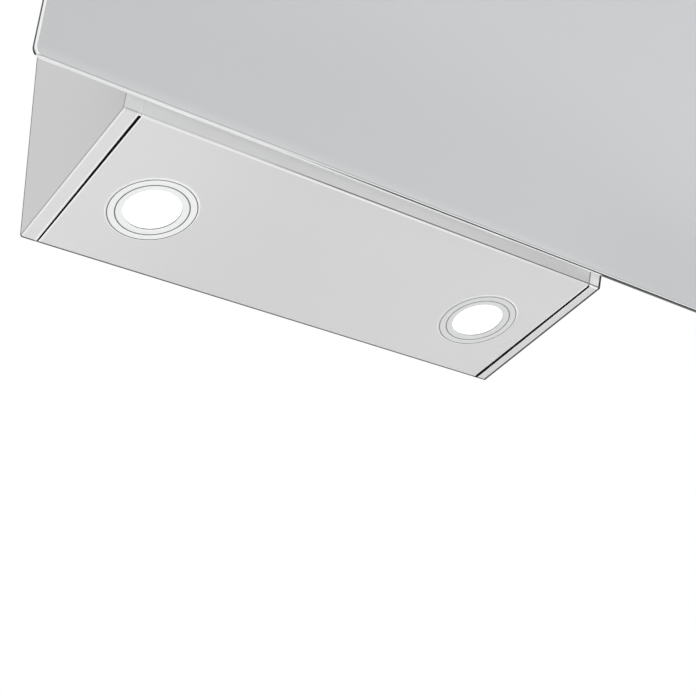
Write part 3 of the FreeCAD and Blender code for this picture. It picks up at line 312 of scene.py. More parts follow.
def powderCoat(name, values):
    # satin coat: fine orange peel, slow change of tone and a dark line along the wall edge;
    # painted highlights beside the gaps and folds of the underside, painted shade along its outer bends,
    # and painted light and shade on the lip, the flanges and the left end of the underside
    material, wire = startFinish(name)
    spot = place(wire)
    peel = noise(wire, spot, values["peel"], detail=1)
    patch = noise(wire, spot, values["patch"], detail=3)
    x, y, z = (axis(wire, spot, letter) for letter in "XYZ")
    along, above = facePlace(wire, spot, *bottomFace)
    behind, height = facePlace(wire, spot, *frontFace)
    under = above < values["skin"]
    front = (behind < values["skin"]) * (1 - height.spread(values["frontLow"], values["frontHigh"]))
    both = under.either(front)

    # painted highlights: bright lines beside the gaps, the left outer bend, the left seam of the lip and
    # round each lamp
    fromGap = abs(abs(x) - values["gap"])
    gapHighlight = under * (fromGap < values["gapHalf"] + values["lineWidth"])
    bendHighlight = under * (x < values["bendWidth"] + values["bendHighlight"] - values["side"])
    seamHighlight = front * (abs(x + values["gap"]) < values["seam"])
    fromLamp = abs(x) - values["lampAcross"]
    pastLamp = along + values["lampSetback"]
    lampHighlight = under * (fromLamp * fromLamp + pastLamp * pastLamp < values["lampRim"] ** 2)
    # painted highlight along the fold under the lip
    foldHighlight = under * (along < values["foldUnder"] - hoodFrame["bottomDepth"])
    foldHighlight = foldHighlight * (height < values["fold"])
    grown = x.spread(values["shadeStart"], values["shadeFull"])
    shade = height.within(values["fold"], values["foldHigh"])
    shade = front * shade * grown.scaled(values["shadeLeast"], 1)
    lipEnd = values["gap"] - values["gapHalf"]
    # painted light: the underside is paler towards its left end
    litLeftMask = 1 - x.spread(values["leftStart"], values["leftStop"])

    # painted light: the lip is much paler than the body against the shade under the glass, and painted
    # shade darkens it to the right and along its fold
    shadedRight = x.spread(values["lipStart"], values["lipStop"])
    foot = shadedRight.mixed(grey(values["lipFoot"]), grey(values["lipFootEnd"]))
    brow = shadedRight.mixed(grey(values["lipBrow"]), grey(values["lipBrowEnd"]))
    lip = height.spread(values["footHigh"], values["browHigh"]).mixed(foot, brow)
    coat = layered(
        patch.mixed(grey(values["dark"]), grey(values["light"])),
        (under * litLeftMask, grey(values["litLeftTone"])),
        (front, lip),
        # painted light on the left flange under the body and on the right flange in front
        (under * (x < -values["gap"]), grey(values["flange"])),
        (front * (x > lipEnd), grey(values["frontFlange"])),
        (foldHighlight, grey(values["foldTone"])),
        (gapHighlight.either(bendHighlight, seamHighlight, lampHighlight), grey(values["bright"])),
        (shade, grey(values["foldShade"])),
        (front * x.within(lipEnd - values["jointWidth"], lipEnd), grey(values["joint"])),
        # painted shade along the outer bends, grey on the left and dark on the right
        (both * (x < values["bendWidth"] - values["side"]), grey(values["bendShade"])),
        (both * (x > values["side"] - values["edgeWidth"]), grey(values["edge"])),
        ((y > -values["rearDarkWidth"]) * (z < values["rearDarkTop"]), grey(values["rearDark"])),
    )
    closeFinish(wire, {
        "Base Color": coat,
        "Roughness": peel.scaled(*values["rough"]),
        "Normal": bump(wire, peel, *values["bump"]),
        "Specular IOR Level": values["shine"],
    })
    return material


zincCoat = {
    "light": 0.65, "dark": 0.53, "tint": (0.98, 1.0, 1.02), "metal": 0.92,
    "spangle": 120.0, "cloud": 60.0, "cloudShare": 0.3,
    "scratch": 30.0, "stretch": (3, 40, 40), "scratchRough": 0.06,
    "rough": (0.36, 0.50), "bump": (0.05, 0.0002),
}


def zincSheet(name, values):
    # hot-dip zinc: crystal spangle, each cell with its own brightness and gloss, under fine scratches
    material, wire = startFinish(name)
    spot = place(wire)
    cloud = noise(wire, spot, values["cloud"])
    cell = wire.node("ShaderNodeTexVoronoi", None, {"Vector": spot, "Scale": values["spangle"]}, "Color")
    cell = wire.node("ShaderNodeSeparateColor", None, {0: cell})
    tone = cell * (1 - values["cloudShare"]) + cloud * values["cloudShare"]
    scratch = noise(wire, place(wire, scale=values["stretch"]), values["scratch"], detail=3)
    dark, light = (grey(values[key], values["tint"]) for key in ("dark", "light"))
    closeFinish(wire, {
        "Base Color": tone.mixed(dark, light),
        "Metallic": values["metal"],
        "Roughness": tone.scaled(*values["rough"]) + scratch * values["scratchRough"],
        "Normal": bump(wire, scratch, *values["bump"]),
    })
    return material


drawnMetals = {   # light and dark tone, turn about X, stretch of the lines, roughness
    "anodisedFrame": (0.72, 0.60, -15, (900, 900, 14), (0.32, 0.48)),
    "meshAluminium": (0.66, 0.50, -15, (60, 900, 900), (0.28, 0.44)),
    "springSteel": (0.56, 0.42, 0, (500, 60, 500), (0.20, 0.36)),
    "brushedControl": (0.72, 0.56, -15, (20, 1500, 1500), (0.22, 0.38)),
    "buttonSteel": (0.74, 0.60, -15, (1500, 1500, 30), (0.22, 0.38)),
}
drawnLines = {"fine": 0.6, "cloud": 12.0, "cloudRough": 0.04, "bump": (0.06, 0.0001)}


def brushedMetal(name, light, dark, turn, stretch, rough):
    # drawn metal: long fine lines along one direction, and a slow change of gloss
    material, wire = startFinish(name)
    lines = noise(wire, place(wire, turn, stretch), 1.0, detail=4, rough=drawnLines["fine"])
    cloud = noise(wire, place(wire), drawnLines["cloud"])
    closeFinish(wire, {
        "Base Color": lines.mixed(grey(dark), grey(light)),
        "Metallic": 1.0,
        "Roughness": lines.scaled(*rough) + cloud * drawnLines["cloudRough"],
        "Normal": bump(wire, lines, *drawnLines["bump"]),
    })
    return material


blackMoulding = {"light": 0.040, "dark": 0.026, "spark": 2400.0, "marks": 25.0,
                 "rough": (0.46, 0.58), "bump": (0.18, 0.00012)}


def mouldedPlastic(name, values):
    # moulded plastic: fine spark texture and faint flow marks
    material, wire = startFinish(name)
    spot = place(wire)
    spark = noise(wire, spot, values["spark"], detail=1)
    marks = noise(wire, spot, values["marks"], detail=3)
    closeFinish(wire, {
        "Base Color": marks.mixed(grey(values["dark"]), grey(values["light"])),
        "Roughness": spark.scaled(*values["rough"]),
        "Normal": bump(wire, spark, *values["bump"]),
    })
    return material


motorEnamel = {"light": 0.22, "dark": 0.15, "dimple": 420.0,
               "rough": (0.34, 0.49), "bump": (0.35, 0.0004)}


def hammerPaint(name, values):
    # hammered stove enamel: shallow dimples
    material, wire = startFinish(name)
    dimple = wire.node("ShaderNodeTexVoronoi", {"feature": "SMOOTH_F1"},
                       {"Vector": place(wire), "Scale": values["dimple"]}, "Distance")
    closeFinish(wire, {
        "Base Color": dimple.mixed(grey(values["dark"]), grey(values["light"])),
        "Roughness": dimple.scaled(*values["rough"]),
        "Normal": bump(wire, dimple, *values["bump"]),
    })
    return material


boardLaminate = {
    "mask": (0.03, 0.16, 0.07, 1.0), "maskDark": (0.02, 0.12, 0.05, 1.0), "fleck": 300.0,
    "track": (0.07, 0.30, 0.14, 1.0), "pitch": 140.0, "trackWidth": 0.06,
    "rough": (0.34, 0.44), "bump": (0.1, 0.00005),
}


def circuitBoard(name, values):
    # solder mask with a net of paler tracks
    material, wire = startFinish(name)
    spot = place(wire)
    track = wire.node("ShaderNodeTexBrick", None, {"Vector": spot, "Scale": values["pitch"],
                                                   "Mortar Size": values["trackWidth"]}, "Fac")
    mask = noise(wire, spot, values["fleck"]).mixed(values["maskDark"], values["mask"])
    closeFinish(wire, {
        "Base Color": track.mixed(mask, values["track"]),
        "Roughness": track.scaled(*values["rough"]),
        "Normal": bump(wire, track, *values["bump"]),
    })
    return material


white = powderCoat("whitePowderCoat", whitePaint)
metals = {name: brushedMetal(name, *values) for name, values in drawnMetals.items()}
blackPlastic = mouldedPlastic("blackMoulding", blackMoulding)
finishes = {
    "white_paint": white, "lamp_trim": white, "lamp_lens": white, "white_glass": white,
    "zinc_sheet": zincSheet("spangledZinc", zincCoat),
    "filter_metal": metals["anodisedFrame"], "filter_mesh": metals["meshAluminium"],
    "spring_steel": metals["springSteel"], "control_metal": metals["brushedControl"],
    "black_plastic": blackPlastic,
    "motor_metal": hammerPaint("motorEnamel", motorEnamel),
    "board": circuitBoard("boardLaminate", boardLaminate),
}
for part in frame["record"]["subparts"]:
    mesh = nodes[part["node"]].data
    mesh.materials.clear()
    mesh.materials.append(finishes[part["material_slot"]])
print("finishes:", len(finishes), "slots on the solids")


glassFront = {
    "halfWidth": 0.299, "low": -0.003, "high": 0.427, "front": -0.0405, "thick": 0.005,
    "corner": 0.006, "arris": 0.0009, "flatRim": 0.0006,
    "cornerSteps": 14, "sideSteps": 30, "edgeSteps": 7, "sharp": 50,
    "slotHalf": 0.056, "slotRadius": 0.007, "slotHeight": 0.290,
    "face": (0.575, 0.588, 0.597, 1.0), "faceDark": (0.562, 0.575, 0.584, 1.0), "patch": 2.4,
    "highTone": (0.606, 0.619, 0.628, 1.0), "highStart": 0.04, "highStop": 0.16,   # painted light: paler to its top, and along its lower edge, painted shade: darker at lower right
    "lowTone": (0.63, 0.648, 0.653, 1.0), "lowTop": 0.006,                  # and along its lower edge,
    "endTone": (0.535, 0.547, 0.555, 1.0), "endLeft": 0.10, "endRight": 0.26,   # darker at lower right
    "endLow": 0.02, "endHigh": 0.09,
    "bevelTone": (0.84, 0.86, 0.86, 1.0), "dipTone": (0.48, 0.49, 0.495, 1.0),
    "bevelLeft": 0.0006, "bevelRight": 0.0012, "dip": 0.0009,   # painted highlight on the bevel under a painted shade line
    "bevelStart": -0.20, "bevelEnd": -0.05,                     # it grows between these two places
    "edge": (0.97, 0.985, 0.98, 1.0), "rimDark": (0.008, 0.008, 0.009, 1.0),
    "lowEdge": 0.0012, "sideDark": 0.72,   # height of the lower edge, dark share of the upright ones
    "hair": 0.01, "darkHair": 0.05,        # shares of a row that end the rim and the dark lines
    "lineRows": 3.4, "endRows": 5.8,       # rows of the front arris where the painted shade lines of the lower edge start
    "lineStart": -0.15, "lineFull": -0.02,   # painted shade: the front line grows between these two places, the rear one between these, and past these all of the edge is dark
    "rearStart": 0.05, "rearFull": 0.11,     # the rear one between these,
    "endStart": 0.176, "endFull": 0.180,     # and past these all of the edge is dark
    "rough": (0.30, 0.35), "ripple": 9.0, "bump": (0.02, 0.0004),
    "coatRough": 0.03, "coatBend": 1.5, "shine": 0.2,
}


def glassRings(values):
    # rows run from the button slot over the front face, round the polished edge and back to the slot:
    # each face is ruled between the slot and a line just inside the outline, which keeps it flat,
    # and the edge is two quarter rounds and a flat
    halfZ = (values["high"] - values["low"]) / 2
    middle = (values["high"] + values["low"]) / 2
    corner, radius = values["corner"], values["slotRadius"]
    centre, out = roundedRing(values["halfWidth"], halfZ, corner,
                              values["cornerSteps"], values["sideSteps"])
    line = centre + corner * out + [0, middle - values["slotHeight"]]
    ray = line / np.linalg.norm(line, axis=1)[:, None]
    end = np.sign(ray[:, 0]) * values["slotHalf"]
    flat = ray[:, 0] * radius / np.maximum(np.abs(ray[:, 1]), meshRules["tiny"])
    reach = end * ray[:, 0] + np.sqrt(np.maximum(radius ** 2 - (end * ray[:, 1]) ** 2, 0))
    straight = np.stack([flat, np.sign(ray[:, 1]) * radius], -1)
    slot = np.where(np.abs(flat)[:, None] <= values["slotHalf"], straight, reach[:, None] * ray)
    slot = slot + [0, values["slotHeight"]]
    quarter = np.linspace(0, np.pi / 2, values["edgeSteps"])
    inset = values["arris"] * (1 - np.sin(quarter))
    depth = values["arris"] * (1 - np.cos(quarter))
    inset = np.concatenate([inset, inset[::-1]])
    depth = np.concatenate([depth, values["thick"] - depth[::-1]])
    edge = centre[None] + (corner - inset)[:, None, None] * out[None] + [0, middle]
    inner = centre + (corner - values["arris"] - values["flatRim"]) * out + [0, middle]
    rows = np.concatenate([slot[None], inner[None], edge, inner[None], slot[None]])
    depth = values["front"] + np.concatenate([[0, 0], depth, [values["thick"], values["thick"]]])
    return np.stack([rows[..., 0], np.broadcast_to(depth[:, None], rows.shape[:2]), rows[..., 1]], -1)


def lacqueredGlass(name, values, rows):
    # clear glass over pale lacquer: even face with painted light and shade, a painted shade line over a
    # painted highlight on the bevel, and a bright polished edge, dark at the rear of the upright edges
    # and with painted shade along the lower one
    material, wire = startFinish(name)
    spot = place(wire)
    patch = noise(wire, spot, values["patch"])
    ripple = noise(wire, spot, values["ripple"], detail=1)
    x = axis(wire, spot, "X")
    height = facePlace(wire, spot, *frontFace)[1]
    across = axis(wire, flowMap(wire), "Y") * rows
    firstRow, lastRow = 2, rows - 3                # rows where the edge starts and ends
    flatRow = firstRow + values["edgeSteps"] - 1   # row before the flat of the edge
    rim = across.within(firstRow + values["hair"], lastRow - values["hair"])
    lower = height < values["low"] + values["lowEdge"]

    # painted shade along the lower edge: a front line, a rear line and, at the right end, all of the
    # edge
    line = across.within(values["lineRows"], flatRow + values["darkHair"])
    line = line * x.spread(values["lineStart"], values["lineFull"])
    rear = across > flatRow + 1 - values["darkHair"]
    rear = rear * x.spread(values["rearStart"], values["rearFull"])
    end = (across > values["endRows"]) * x.spread(values["endStart"], values["endFull"])
    # dark along the rear of the upright edges
    upright = (1 - lower) * (across > flatRow + 1 - values["sideDark"])
    dark = rim * (lower * line.either(rear, end) + upright)
    grown = x.spread(values["bevelStart"], values["bevelEnd"])
    bevel = grown.scaled(values["low"] + values["bevelLeft"], values["low"] + values["bevelRight"])
    corner = x.spread(values["endLeft"], values["endRight"])
    # painted light to the top and along the lower edge, and painted shade at the lower right
    lacquer = layered(
        patch.mixed(values["faceDark"], values["face"]),
        (1 - height.spread(values["low"], values["lowTop"]), values["lowTone"]),
        (height.spread(values["highStart"], values["highStop"]), values["highTone"]),
        (corner * (1 - height.spread(values["endLow"], values["endHigh"])), values["endTone"]),
        # painted shade line over a painted highlight along the bevel
        (height < bevel + values["dip"], values["dipTone"]),
        (height < bevel, values["bevelTone"]),
    )
    polished = (lower * (across < flatRow)).mixed(values["edge"], lacquer)
    closeFinish(wire, {
        "Base Color": layered(lacquer, (rim, polished), (dark, values["rimDark"])),
        "Roughness": patch.scaled(*values["rough"]),
        "Normal": bump(wire, ripple, *values["bump"]),
        "Coat Weight": 1 - dark, "Coat Roughness": values["coatRough"], "Coat IOR": values["coatBend"],
        "Specular IOR Level": values["shine"],
    })
    return material


paneRows = glassRings(glassFront)
paneFinish = lacqueredGlass("whiteLacqueredGlass", glassFront, len(paneRows))
pane = surface("glassPane", onFront(paneRows)[None], wrapRows=True, wrapCols=True,
               sharp=glassFront["sharp"])
settle(pane, "glass_front", "white_glass", paneFinish, "glass_panel")
print("glass pane:", len(pane.data.polygons), "faces")


lampTrim = {
    "spacing": 0.303, "setback": 0.0645, "rim": 0.032, "proud": 0.0007, "bevel": 0.0003,
    "groove": 0.0312, "grooveWidth": 0.0007, "grooveDeep": 0.0003,
    "seal": 0.0258, "innerGrooveWidth": 0.0009, "innerGrooveDeep": 0.0004, "innerGrooveFloor": 0.7,
    "opening": 0.0206, "seat": 0.0006, "tube": 0.0278, "tubeWall": 0.0015, "tubeLength": 0.022,
    "round": 0.00012, "turns": 160, "steps": 5,
    "grooveAt": (3.4, 5.4), "innerGrooveAt": (6.4, 9.4), "mouthAt": (11.5, 12.5),   # in the section's corners
    "tint": (0.985, 1.0, 0.995), "patch": 40.0, "lines": (3.0, 240.0, 1.0),  # fine lines, how many
    "rough": (0.30, 0.38), "bump": (0.05, 0.0001),
    # painted shade: the right ring is darker and glows less than the left one
    "left": {"light": 0.86, "dark": 0.83, "seal": 0.18, "groove": 0.06, "mouth": 0.16, "glow": 0.08},
    "right": {"light": 0.72, "dark": 0.69, "seal": 0.30, "groove": 0.18, "mouth": 0.30, "glow": 0.01},
}


def trimProfile(values):
    # closed section of the lamp ring: flat rim with two fine grooves, bevelled both ways,
    # and the tube behind it
    rim, low, seal, groove = values["rim"], -values["proud"], values["seal"], values["groove"]
    opening, seat, tube = values["opening"], values["seat"], values["tube"]
    bevel, inner, length = values["bevel"], tube - values["tubeWall"], values["tubeLength"]
    narrow, half = values["grooveWidth"] / 2, values["innerGrooveWidth"] / 2
    floor, deep = values["innerGrooveFloor"] * half, low + values["innerGrooveDeep"]
    corners = [(rim, 0), (rim, low + bevel), (rim - bevel, low),
               (groove + narrow, low), (groove, low + values["grooveDeep"]), (groove - narrow, low),
               (seal + half, low), (seal + floor, deep), (seal - floor, deep), (seal - half, low),
               (opening + bevel, low), (opening, low + bevel), (opening, seat),
               (inner, seat), (inner, length), (tube, length), (tube, 0)]
    return softened(corners, values["round"], values["steps"])


def turnedPaint(name, values, tones, rows):
    # satin white over a turned ring with a faint glow of painted light: fine lines run round it,
    # and painted shade darkens both grooves and the mouth
    material, wire = startFinish(name)
    flow = flowMap(wire)
    around = wire.node("ShaderNodeVectorMath", {"operation": "MULTIPLY"}, {0: flow, 1: values["lines"]})
    rings = noise(wire, around, 1.0, detail=3)
    patch = noise(wire, place(wire), values["patch"])
    corner = axis(wire, flow, "Y") * rows / values["steps"]
    # painted shade in both grooves and the mouth; the rest of the ring glows with painted light
    groove, seal, mouth = (corner.within(*values[key]) for key in ("grooveAt", "innerGrooveAt", "mouthAt"))
    lit = 1 - groove.either(seal, mouth)
    dark, light = (grey(tones[key], values["tint"]) for key in ("dark", "light"))
    coat = layered(patch.mixed(dark, light), (seal, grey(tones["seal"])),
                   (groove, grey(tones["groove"])), (mouth, grey(tones["mouth"])))
    closeFinish(wire, {
        "Base Color": coat,
        "Roughness": rings.scaled(*values["rough"]),
        "Normal": bump(wire, rings, *values["bump"]),
        "Emission Color": lit.mixed(grey(0.0), grey(1.0, values["tint"])),
        "Emission Strength": tones["glow"],
    })
    return material


ring = turned(trimProfile(lampTrim), lampTrim["turns"])
lampSpots = {side: (sign * lampTrim["spacing"] / 2, -lampTrim["setback"], 0)
             for side, sign in sideSigns.items()}
for side, spot in lampSpots.items():
    piece = surface(side + "LampRing", onBottom(ring + spot)[None], wrapRows=True, wrapCols=True)
    trimFinish = turnedPaint(side + "LampRingPaint", lampTrim, lampTrim[side], len(ring))
    settle(piece, "hood", "lamp_trim", trimFinish, side + "_lamp_trim")

lampLens = {
    "radius": 0.0263, "seat": 0.0006, "thick": 0.002, "bulge": 0.0004, "open": 0.0204,
    "ripple": 0.00005, "pitch": 0.0011, "rippleEnd": 0.04, "rings": 90, "turns": 120,
    "opal": (0.90, 0.94), "grain": 700.0, "rough": (0.30, 0.40),
    "centre": (1.0, 1.0, 1.0, 1.0), "rim": (0.42, 0.44, 0.44, 1.0), "glow": 0.95,
    "rimStart": 0.68, "rimStop": 0.80,   # shares of the radius between which the light falls off
}


def lensRows(values):
    # front: a shallow dome with fine round ripples, height = seat - bulge * (1 - (r / open)^2)
    # + ripple * cos(2 pi r / pitch); then the edge and the flat back
    r = np.linspace(0, values["radius"], values["rings"])
    dome = np.clip(1 - (r / values["open"]) ** 2, 0, None)
    ripple = values["ripple"] * np.cos(2 * np.pi * r / values["pitch"]) * (dome > values["rippleEnd"])
    height = values["seat"] - values["bulge"] * dome + ripple
    back = values["seat"] + values["thick"]
    return np.concatenate([np.stack([r, height], -1), [(values["radius"], back), (0, back)]])


def litOpal(name, values, rows):
    # opal plastic lit from behind, less so at the rim
    material, wire = startFinish(name)
    across = axis(wire, flowMap(wire), "Y") * rows / values["rings"]
    grain = noise(wire, place(wire), values["grain"])
    edge = across.spread(values["rimStart"], values["rimStop"])
    dark, light = (grey(tone) for tone in values["opal"])
    closeFinish(wire, {
        "Base Color": grain.mixed(dark, light),
        "Roughness": grain.scaled(*values["rough"]),
        "Emission Color": edge.mixed(values["centre"], values["rim"]),
        "Emission Strength": values["glow"],
    })
    return material


lens = turned(lensRows(lampLens), lampLens["turns"])
opal = litOpal("litOpalLens", lampLens, len(lens))
for side, spot in lampSpots.items():
    piece = surface(side + "LampLens", onBottom(lens + spot)[None], wrapCols=True)
    settle(piece, "hood", "lamp_lens", opal, side + "_lamp_lens")
print("lamps: ring and lens on both sides")


# a strip in each gap of the underside: its black bead is painted shade for the dark gap, its shoulders
# painted highlight
gapShadeStrip = {
    "middle": 0.20575, "half": 0.00095, "bead": 0.0006, "low": -0.0004, "high": 0.0030, "round": 0.0002,
    "rear": -0.0001, "front": -0.1388, "fade": 0.006, "steps": 48,
    "left": (0.0006, 0.00105), "right": (0.0016, 0.0010),   # half width of the bead, rear and front
    "beadSlack": 1.01,                 # points up to this share of the bead belong to it
    "black": (0.004, 0.008), "grain": 1800.0, "shine": 0.05,
    "rough": (0.80, 0.90), "bump": (0.18, 0.00012),
}
seamFill = {"middle": 0.2050, "half": 0.0006, "out": 0.00025, "in": 0.0010,
            "low": 0.0012, "high": 0.0445, "round": 0.0001, "steps": 8}


def strip(outline, start, end, steps):
    # a closed outline carried along Z from start to end, both ends drawn in to a point at its middle
    point = outline.mean(0) + 0 * outline[None]
    rows = np.concatenate([point, np.repeat(outline[None], steps, 0), point])
    along = np.concatenate([[start], np.linspace(start, end, steps), [end]])
    return np.concatenate([rows, np.broadcast_to(along[:, None, None], rows.shape[:2] + (1,))], -1)


def gapStripRows(values, sign, widths):
    # a T section carried along the gap: its bead goes from the first half width to the second,
    # sinks until it is flush at the wall, and both ends are cut upright
    bead, half, low, high = values["bead"], values["half"], values["low"], values["high"]
    outline = softened([(-bead, low), (bead, low), (bead, 0), (half, 0),
                        (half, high), (-half, high), (-half, 0), (-bead, 0)], values["round"])
    rows = strip(outline, values["rear"], values["front"], values["steps"])
    across, level, along = rows[..., 0], rows[..., 1], rows[..., 2]
    width = widths[0] + (widths[1] - widths[0]) * along / values["front"]
    isBead = (level < 0) & (np.abs(across) < values["beadSlack"] * bead)
    across = sign * values["middle"] + across * np.where(isBead, width / bead, 1)
    level = level * np.where(level < 0, np.clip(-along / values["fade"], 0, 1), 1)
    return np.stack([across, along - level * np.tan(tilt), level], -1)


def seamRows(values, sign):
    # a small rectangle with softened corners carried up the seam
    near, far = values["middle"] - values["half"], values["middle"] + values["half"]
    front, back = values["out"], values["in"]
    outline = softened([(near, front), (far, front), (far, back), (near, back)], values["round"])
    return strip(outline * [sign, 1], values["low"], values["high"], values["steps"])


def gapShadeFinish(name, values, widths):
    # painted shade: a black bead for the dark of the gap along the middle of a strip in the painted
    # highlight tone; its half width goes from the first to the second
    material, wire = startFinish(name)
    spot = place(wire)
    along = facePlace(wire, spot, *bottomFace)[0]
    width = along * ((widths[1] - widths[0]) / values["front"]) + widths[0]
    bead = abs(abs(axis(wire, spot, "X")) - values["middle"]) < width
    grain = noise(wire, spot, values["grain"], detail=1)
    dark, light = (grey(tone) for tone in values["black"])
    closeFinish(wire, {
        "Base Color": bead.mixed(grey(whitePaint["bright"]), grain.mixed(dark, light)),
        "Roughness": grain.scaled(*values["rough"]),
        "Normal": bump(wire, grain, *values["bump"]),
        "Specular IOR Level": values["shine"],
    })
    return material


for side, sign in sideSigns.items():
    rows = gapStripRows(gapShadeStrip, sign, gapShadeStrip[side])
    piece = surface(side + "GapShadeStrip", onBottom(rows)[None], wrapCols=True)
    settle(piece, "hood", "black_plastic", gapShadeFinish(side + "GapShadeFinish", gapShadeStrip, gapShadeStrip[side]))
    piece = surface(side + "SeamFill", onFront(seamRows(seamFill, sign))[None], wrapCols=True)
    settle(piece, "hood", "white_paint", white)
print("seals: both gaps of the underside and both seams of the lip")


pushButton = {
    "pitch": 0.028, "count": 5, "height": 0.290, "radius": 0.006, "front": -0.0443, "end": -0.0254,
    "dish": 0.0007, "dishShare": 0.8, "dishSteps": 14, "round": 0.0005, "roundSteps": 6, "turns": 72,
    "collar": 0.0085, "collarFront": -0.0345, "collarBack": -0.0330,
}


def capRows(values):
    # dished front, depth = dish * (1 - (r / rim of the dish)^2), rounded brow, stem,
    # collar behind the glass and stem end
    r = np.linspace(0, values["dishShare"] * values["radius"], values["dishSteps"])
    dish = np.stack([r, values["front"] + values["dish"] * (1 - (r / r[-1]) ** 2)], -1)
    stem, brow, collar = values["radius"], values["round"], values["collar"]
    turn = np.linspace(0, np.pi / 2, values["roundSteps"])
    rim = np.stack([stem - brow + brow * np.sin(turn), values["front"] + brow * (1 - np.cos(turn))], -1)
    rest = [(stem, values["collarFront"]), (collar, values["collarFront"]),
            (collar, values["collarBack"]), (stem, values["collarBack"]),
            (stem, values["end"]), (0, values["end"])]
    return np.concatenate([dish, rim, rest])


cap = turned(capRows(pushButton), pushButton["turns"])[..., [0, 2, 1]]
for number in range(1, pushButton["count"] + 1):
    across = (number - (pushButton["count"] + 1) / 2) * pushButton["pitch"]
    rows = cap + [across, 0, pushButton["height"]]
    piece = surface(f"buttonCap{number}", onFront(rows)[None], wrapCols=True)
    settle(piece, f"button_{number}", "control_metal", metals["buttonSteel"], f"button_{number}")
print("controls:", pushButton["count"], "dished buttons")


filterMesh = {
    "inner": 0.0340, "outer": 0.19425, "low": 0.0568, "high": 0.3538, "middle": 0.0097, "rise": 0.0016,
    "fold": 0.014, "cellLong": 0.0125, "cellShort": 0.0062, "knot": 1.5, "thick": 0.00042, "perCell": 6,
}


def meshStrands(values):
    # expanded metal: strand k follows z = k * short / 2 +- short / 4 * wave(x / long), its neighbour the
    # mirrored wave, so they meet at the knots, where the triangle wave times knot is cut off flat;
    # the sheet itself is folded, depth = middle + rise * triangle(x / fold)
    x = np.arange(values["inner"], values["outer"], values["cellLong"] / values["perCell"])
    count = int((values["high"] - values["low"]) / (values["cellShort"] / 2)) - 1
    k = np.arange(count)[:, None]
    wave, folded = (np.abs((x / values[key]) % 1 * 4 - 2) - 1 for key in ("cellLong", "fold"))
    wave = np.where(k % 2, -1, 1) * np.clip(values["knot"] * wave, -1, 1)
    z = values["low"] + (k + 1) * values["cellShort"] / 2 + values["cellShort"] / 4 * wave
    depth = values["middle"] + values["rise"] * folded
    line = np.stack(np.broadcast_arrays(x[None], depth[None], z), -1)
    side = values["thick"] * np.array([(0, -1, -1), (0, 1, -1), (0, 1, 1), (0, -1, 1)])
    tube = line[:, :, None] + side
    ends = [line[:, spot, None, None] + 0 * side for spot in (0, -1)]
    return np.concatenate([ends[0], tube, ends[1]], 1)


strands = meshStrands(filterMesh)
for side, sign in sideSigns.items():
    piece = surface(side + "FilterMesh", onFront(strands * [sign, 1, 1]), wrapCols=True)
    settle(piece, "hood", "filter_mesh", metals["meshAluminium"], side + "_filter_mesh")
print("filters:", len(strands), "strands each")


filterLatch = {
    "middle": 0.2053, "back": 0.00915, "shoulder": 0.0005,
    "rings": 44, "cornerSteps": 8, "sideSteps": 14,
    "grip": {"inner": 0.00805, "outer": 0.0230, "half": 0.014, "corner": 0.0016,
             "front": 0.0047, "rib": 0.0007},
    "nose": {"inner": 0.0040, "outer": 0.0155, "half": 0.010, "corner": 0.0008,
             "front": 0.0062, "rib": 0.0},
    "ribPitch": 0.0024, "ribShare": 0.8, "ribFade": 12,   # ribs end at this share of the height
}


def padRows(values, shape):
    # a rounded rectangle shrunk towards its middle in equal steps makes the front, raised by ribs,
    # rib * (1 + cos(2 pi x / pitch)) / 2 * (1 - step^fade); the outline then goes round a shoulder
    # and down the side, and the back closes at its middle
    halfX = (shape["outer"] - shape["inner"]) / 2
    middleX = (shape["outer"] + shape["inner"]) / 2
    front, back = shape["front"], values["back"]
    centre, out = roundedRing(halfX, shape["half"], shape["corner"],
                              values["cornerSteps"], values["sideSteps"])
    line = centre + shape["corner"] * out
    inner = centre + (shape["corner"] - values["shoulder"]) * out
    step = np.linspace(0, 1, values["rings"])[:, None]
    face = step[..., None] * inner
    ribs = shape["rib"] * (0.5 + 0.5 * np.cos(2 * np.pi * face[..., 0] / values["ribPitch"]))
    ribs = ribs * (np.abs(face[..., 1]) < values["ribShare"] * shape["half"])
    depth = front - ribs * (1 - step ** values["ribFade"])
    rest = np.repeat([[front + values["shoulder"]], [back], [back]], len(line), 1)
    flat = np.concatenate([face, np.stack([line, line, 0 * line])])
    depth = np.concatenate([depth, rest])
    return np.stack([flat[..., 0] + middleX, depth, flat[..., 1] + values["middle"]], -1)


latchParts = np.stack([padRows(filterLatch, filterLatch[shape]) for shape in ("grip", "nose")])
for side, sign in sideSigns.items():
    piece = surface(side + "LatchGrip", onFront(latchParts * [sign, 1, 1]), wrapCols=True)
    settle(piece, side + "_latch", "black_plastic", blackPlastic, side + "_filter_latch")
print("latches: ribbed grips")


hingeScrew = {
    "across": 0.150, "apart": 0.006, "height": 0.376602, "seat": -0.002, "shank": 0.002, "end": 0.002,
    "head": 0.0036, "tall": 0.0022, "dome": 0.45, "domePower": 4,
    "crossHalf": 0.00055, "crossReach": 0.0021, "crossDeep": 0.0012,
    "wallSlope": 0.00025, "endSlope": 0.0004, "rings": 30, "turns": 96, "sharp": 30,
}


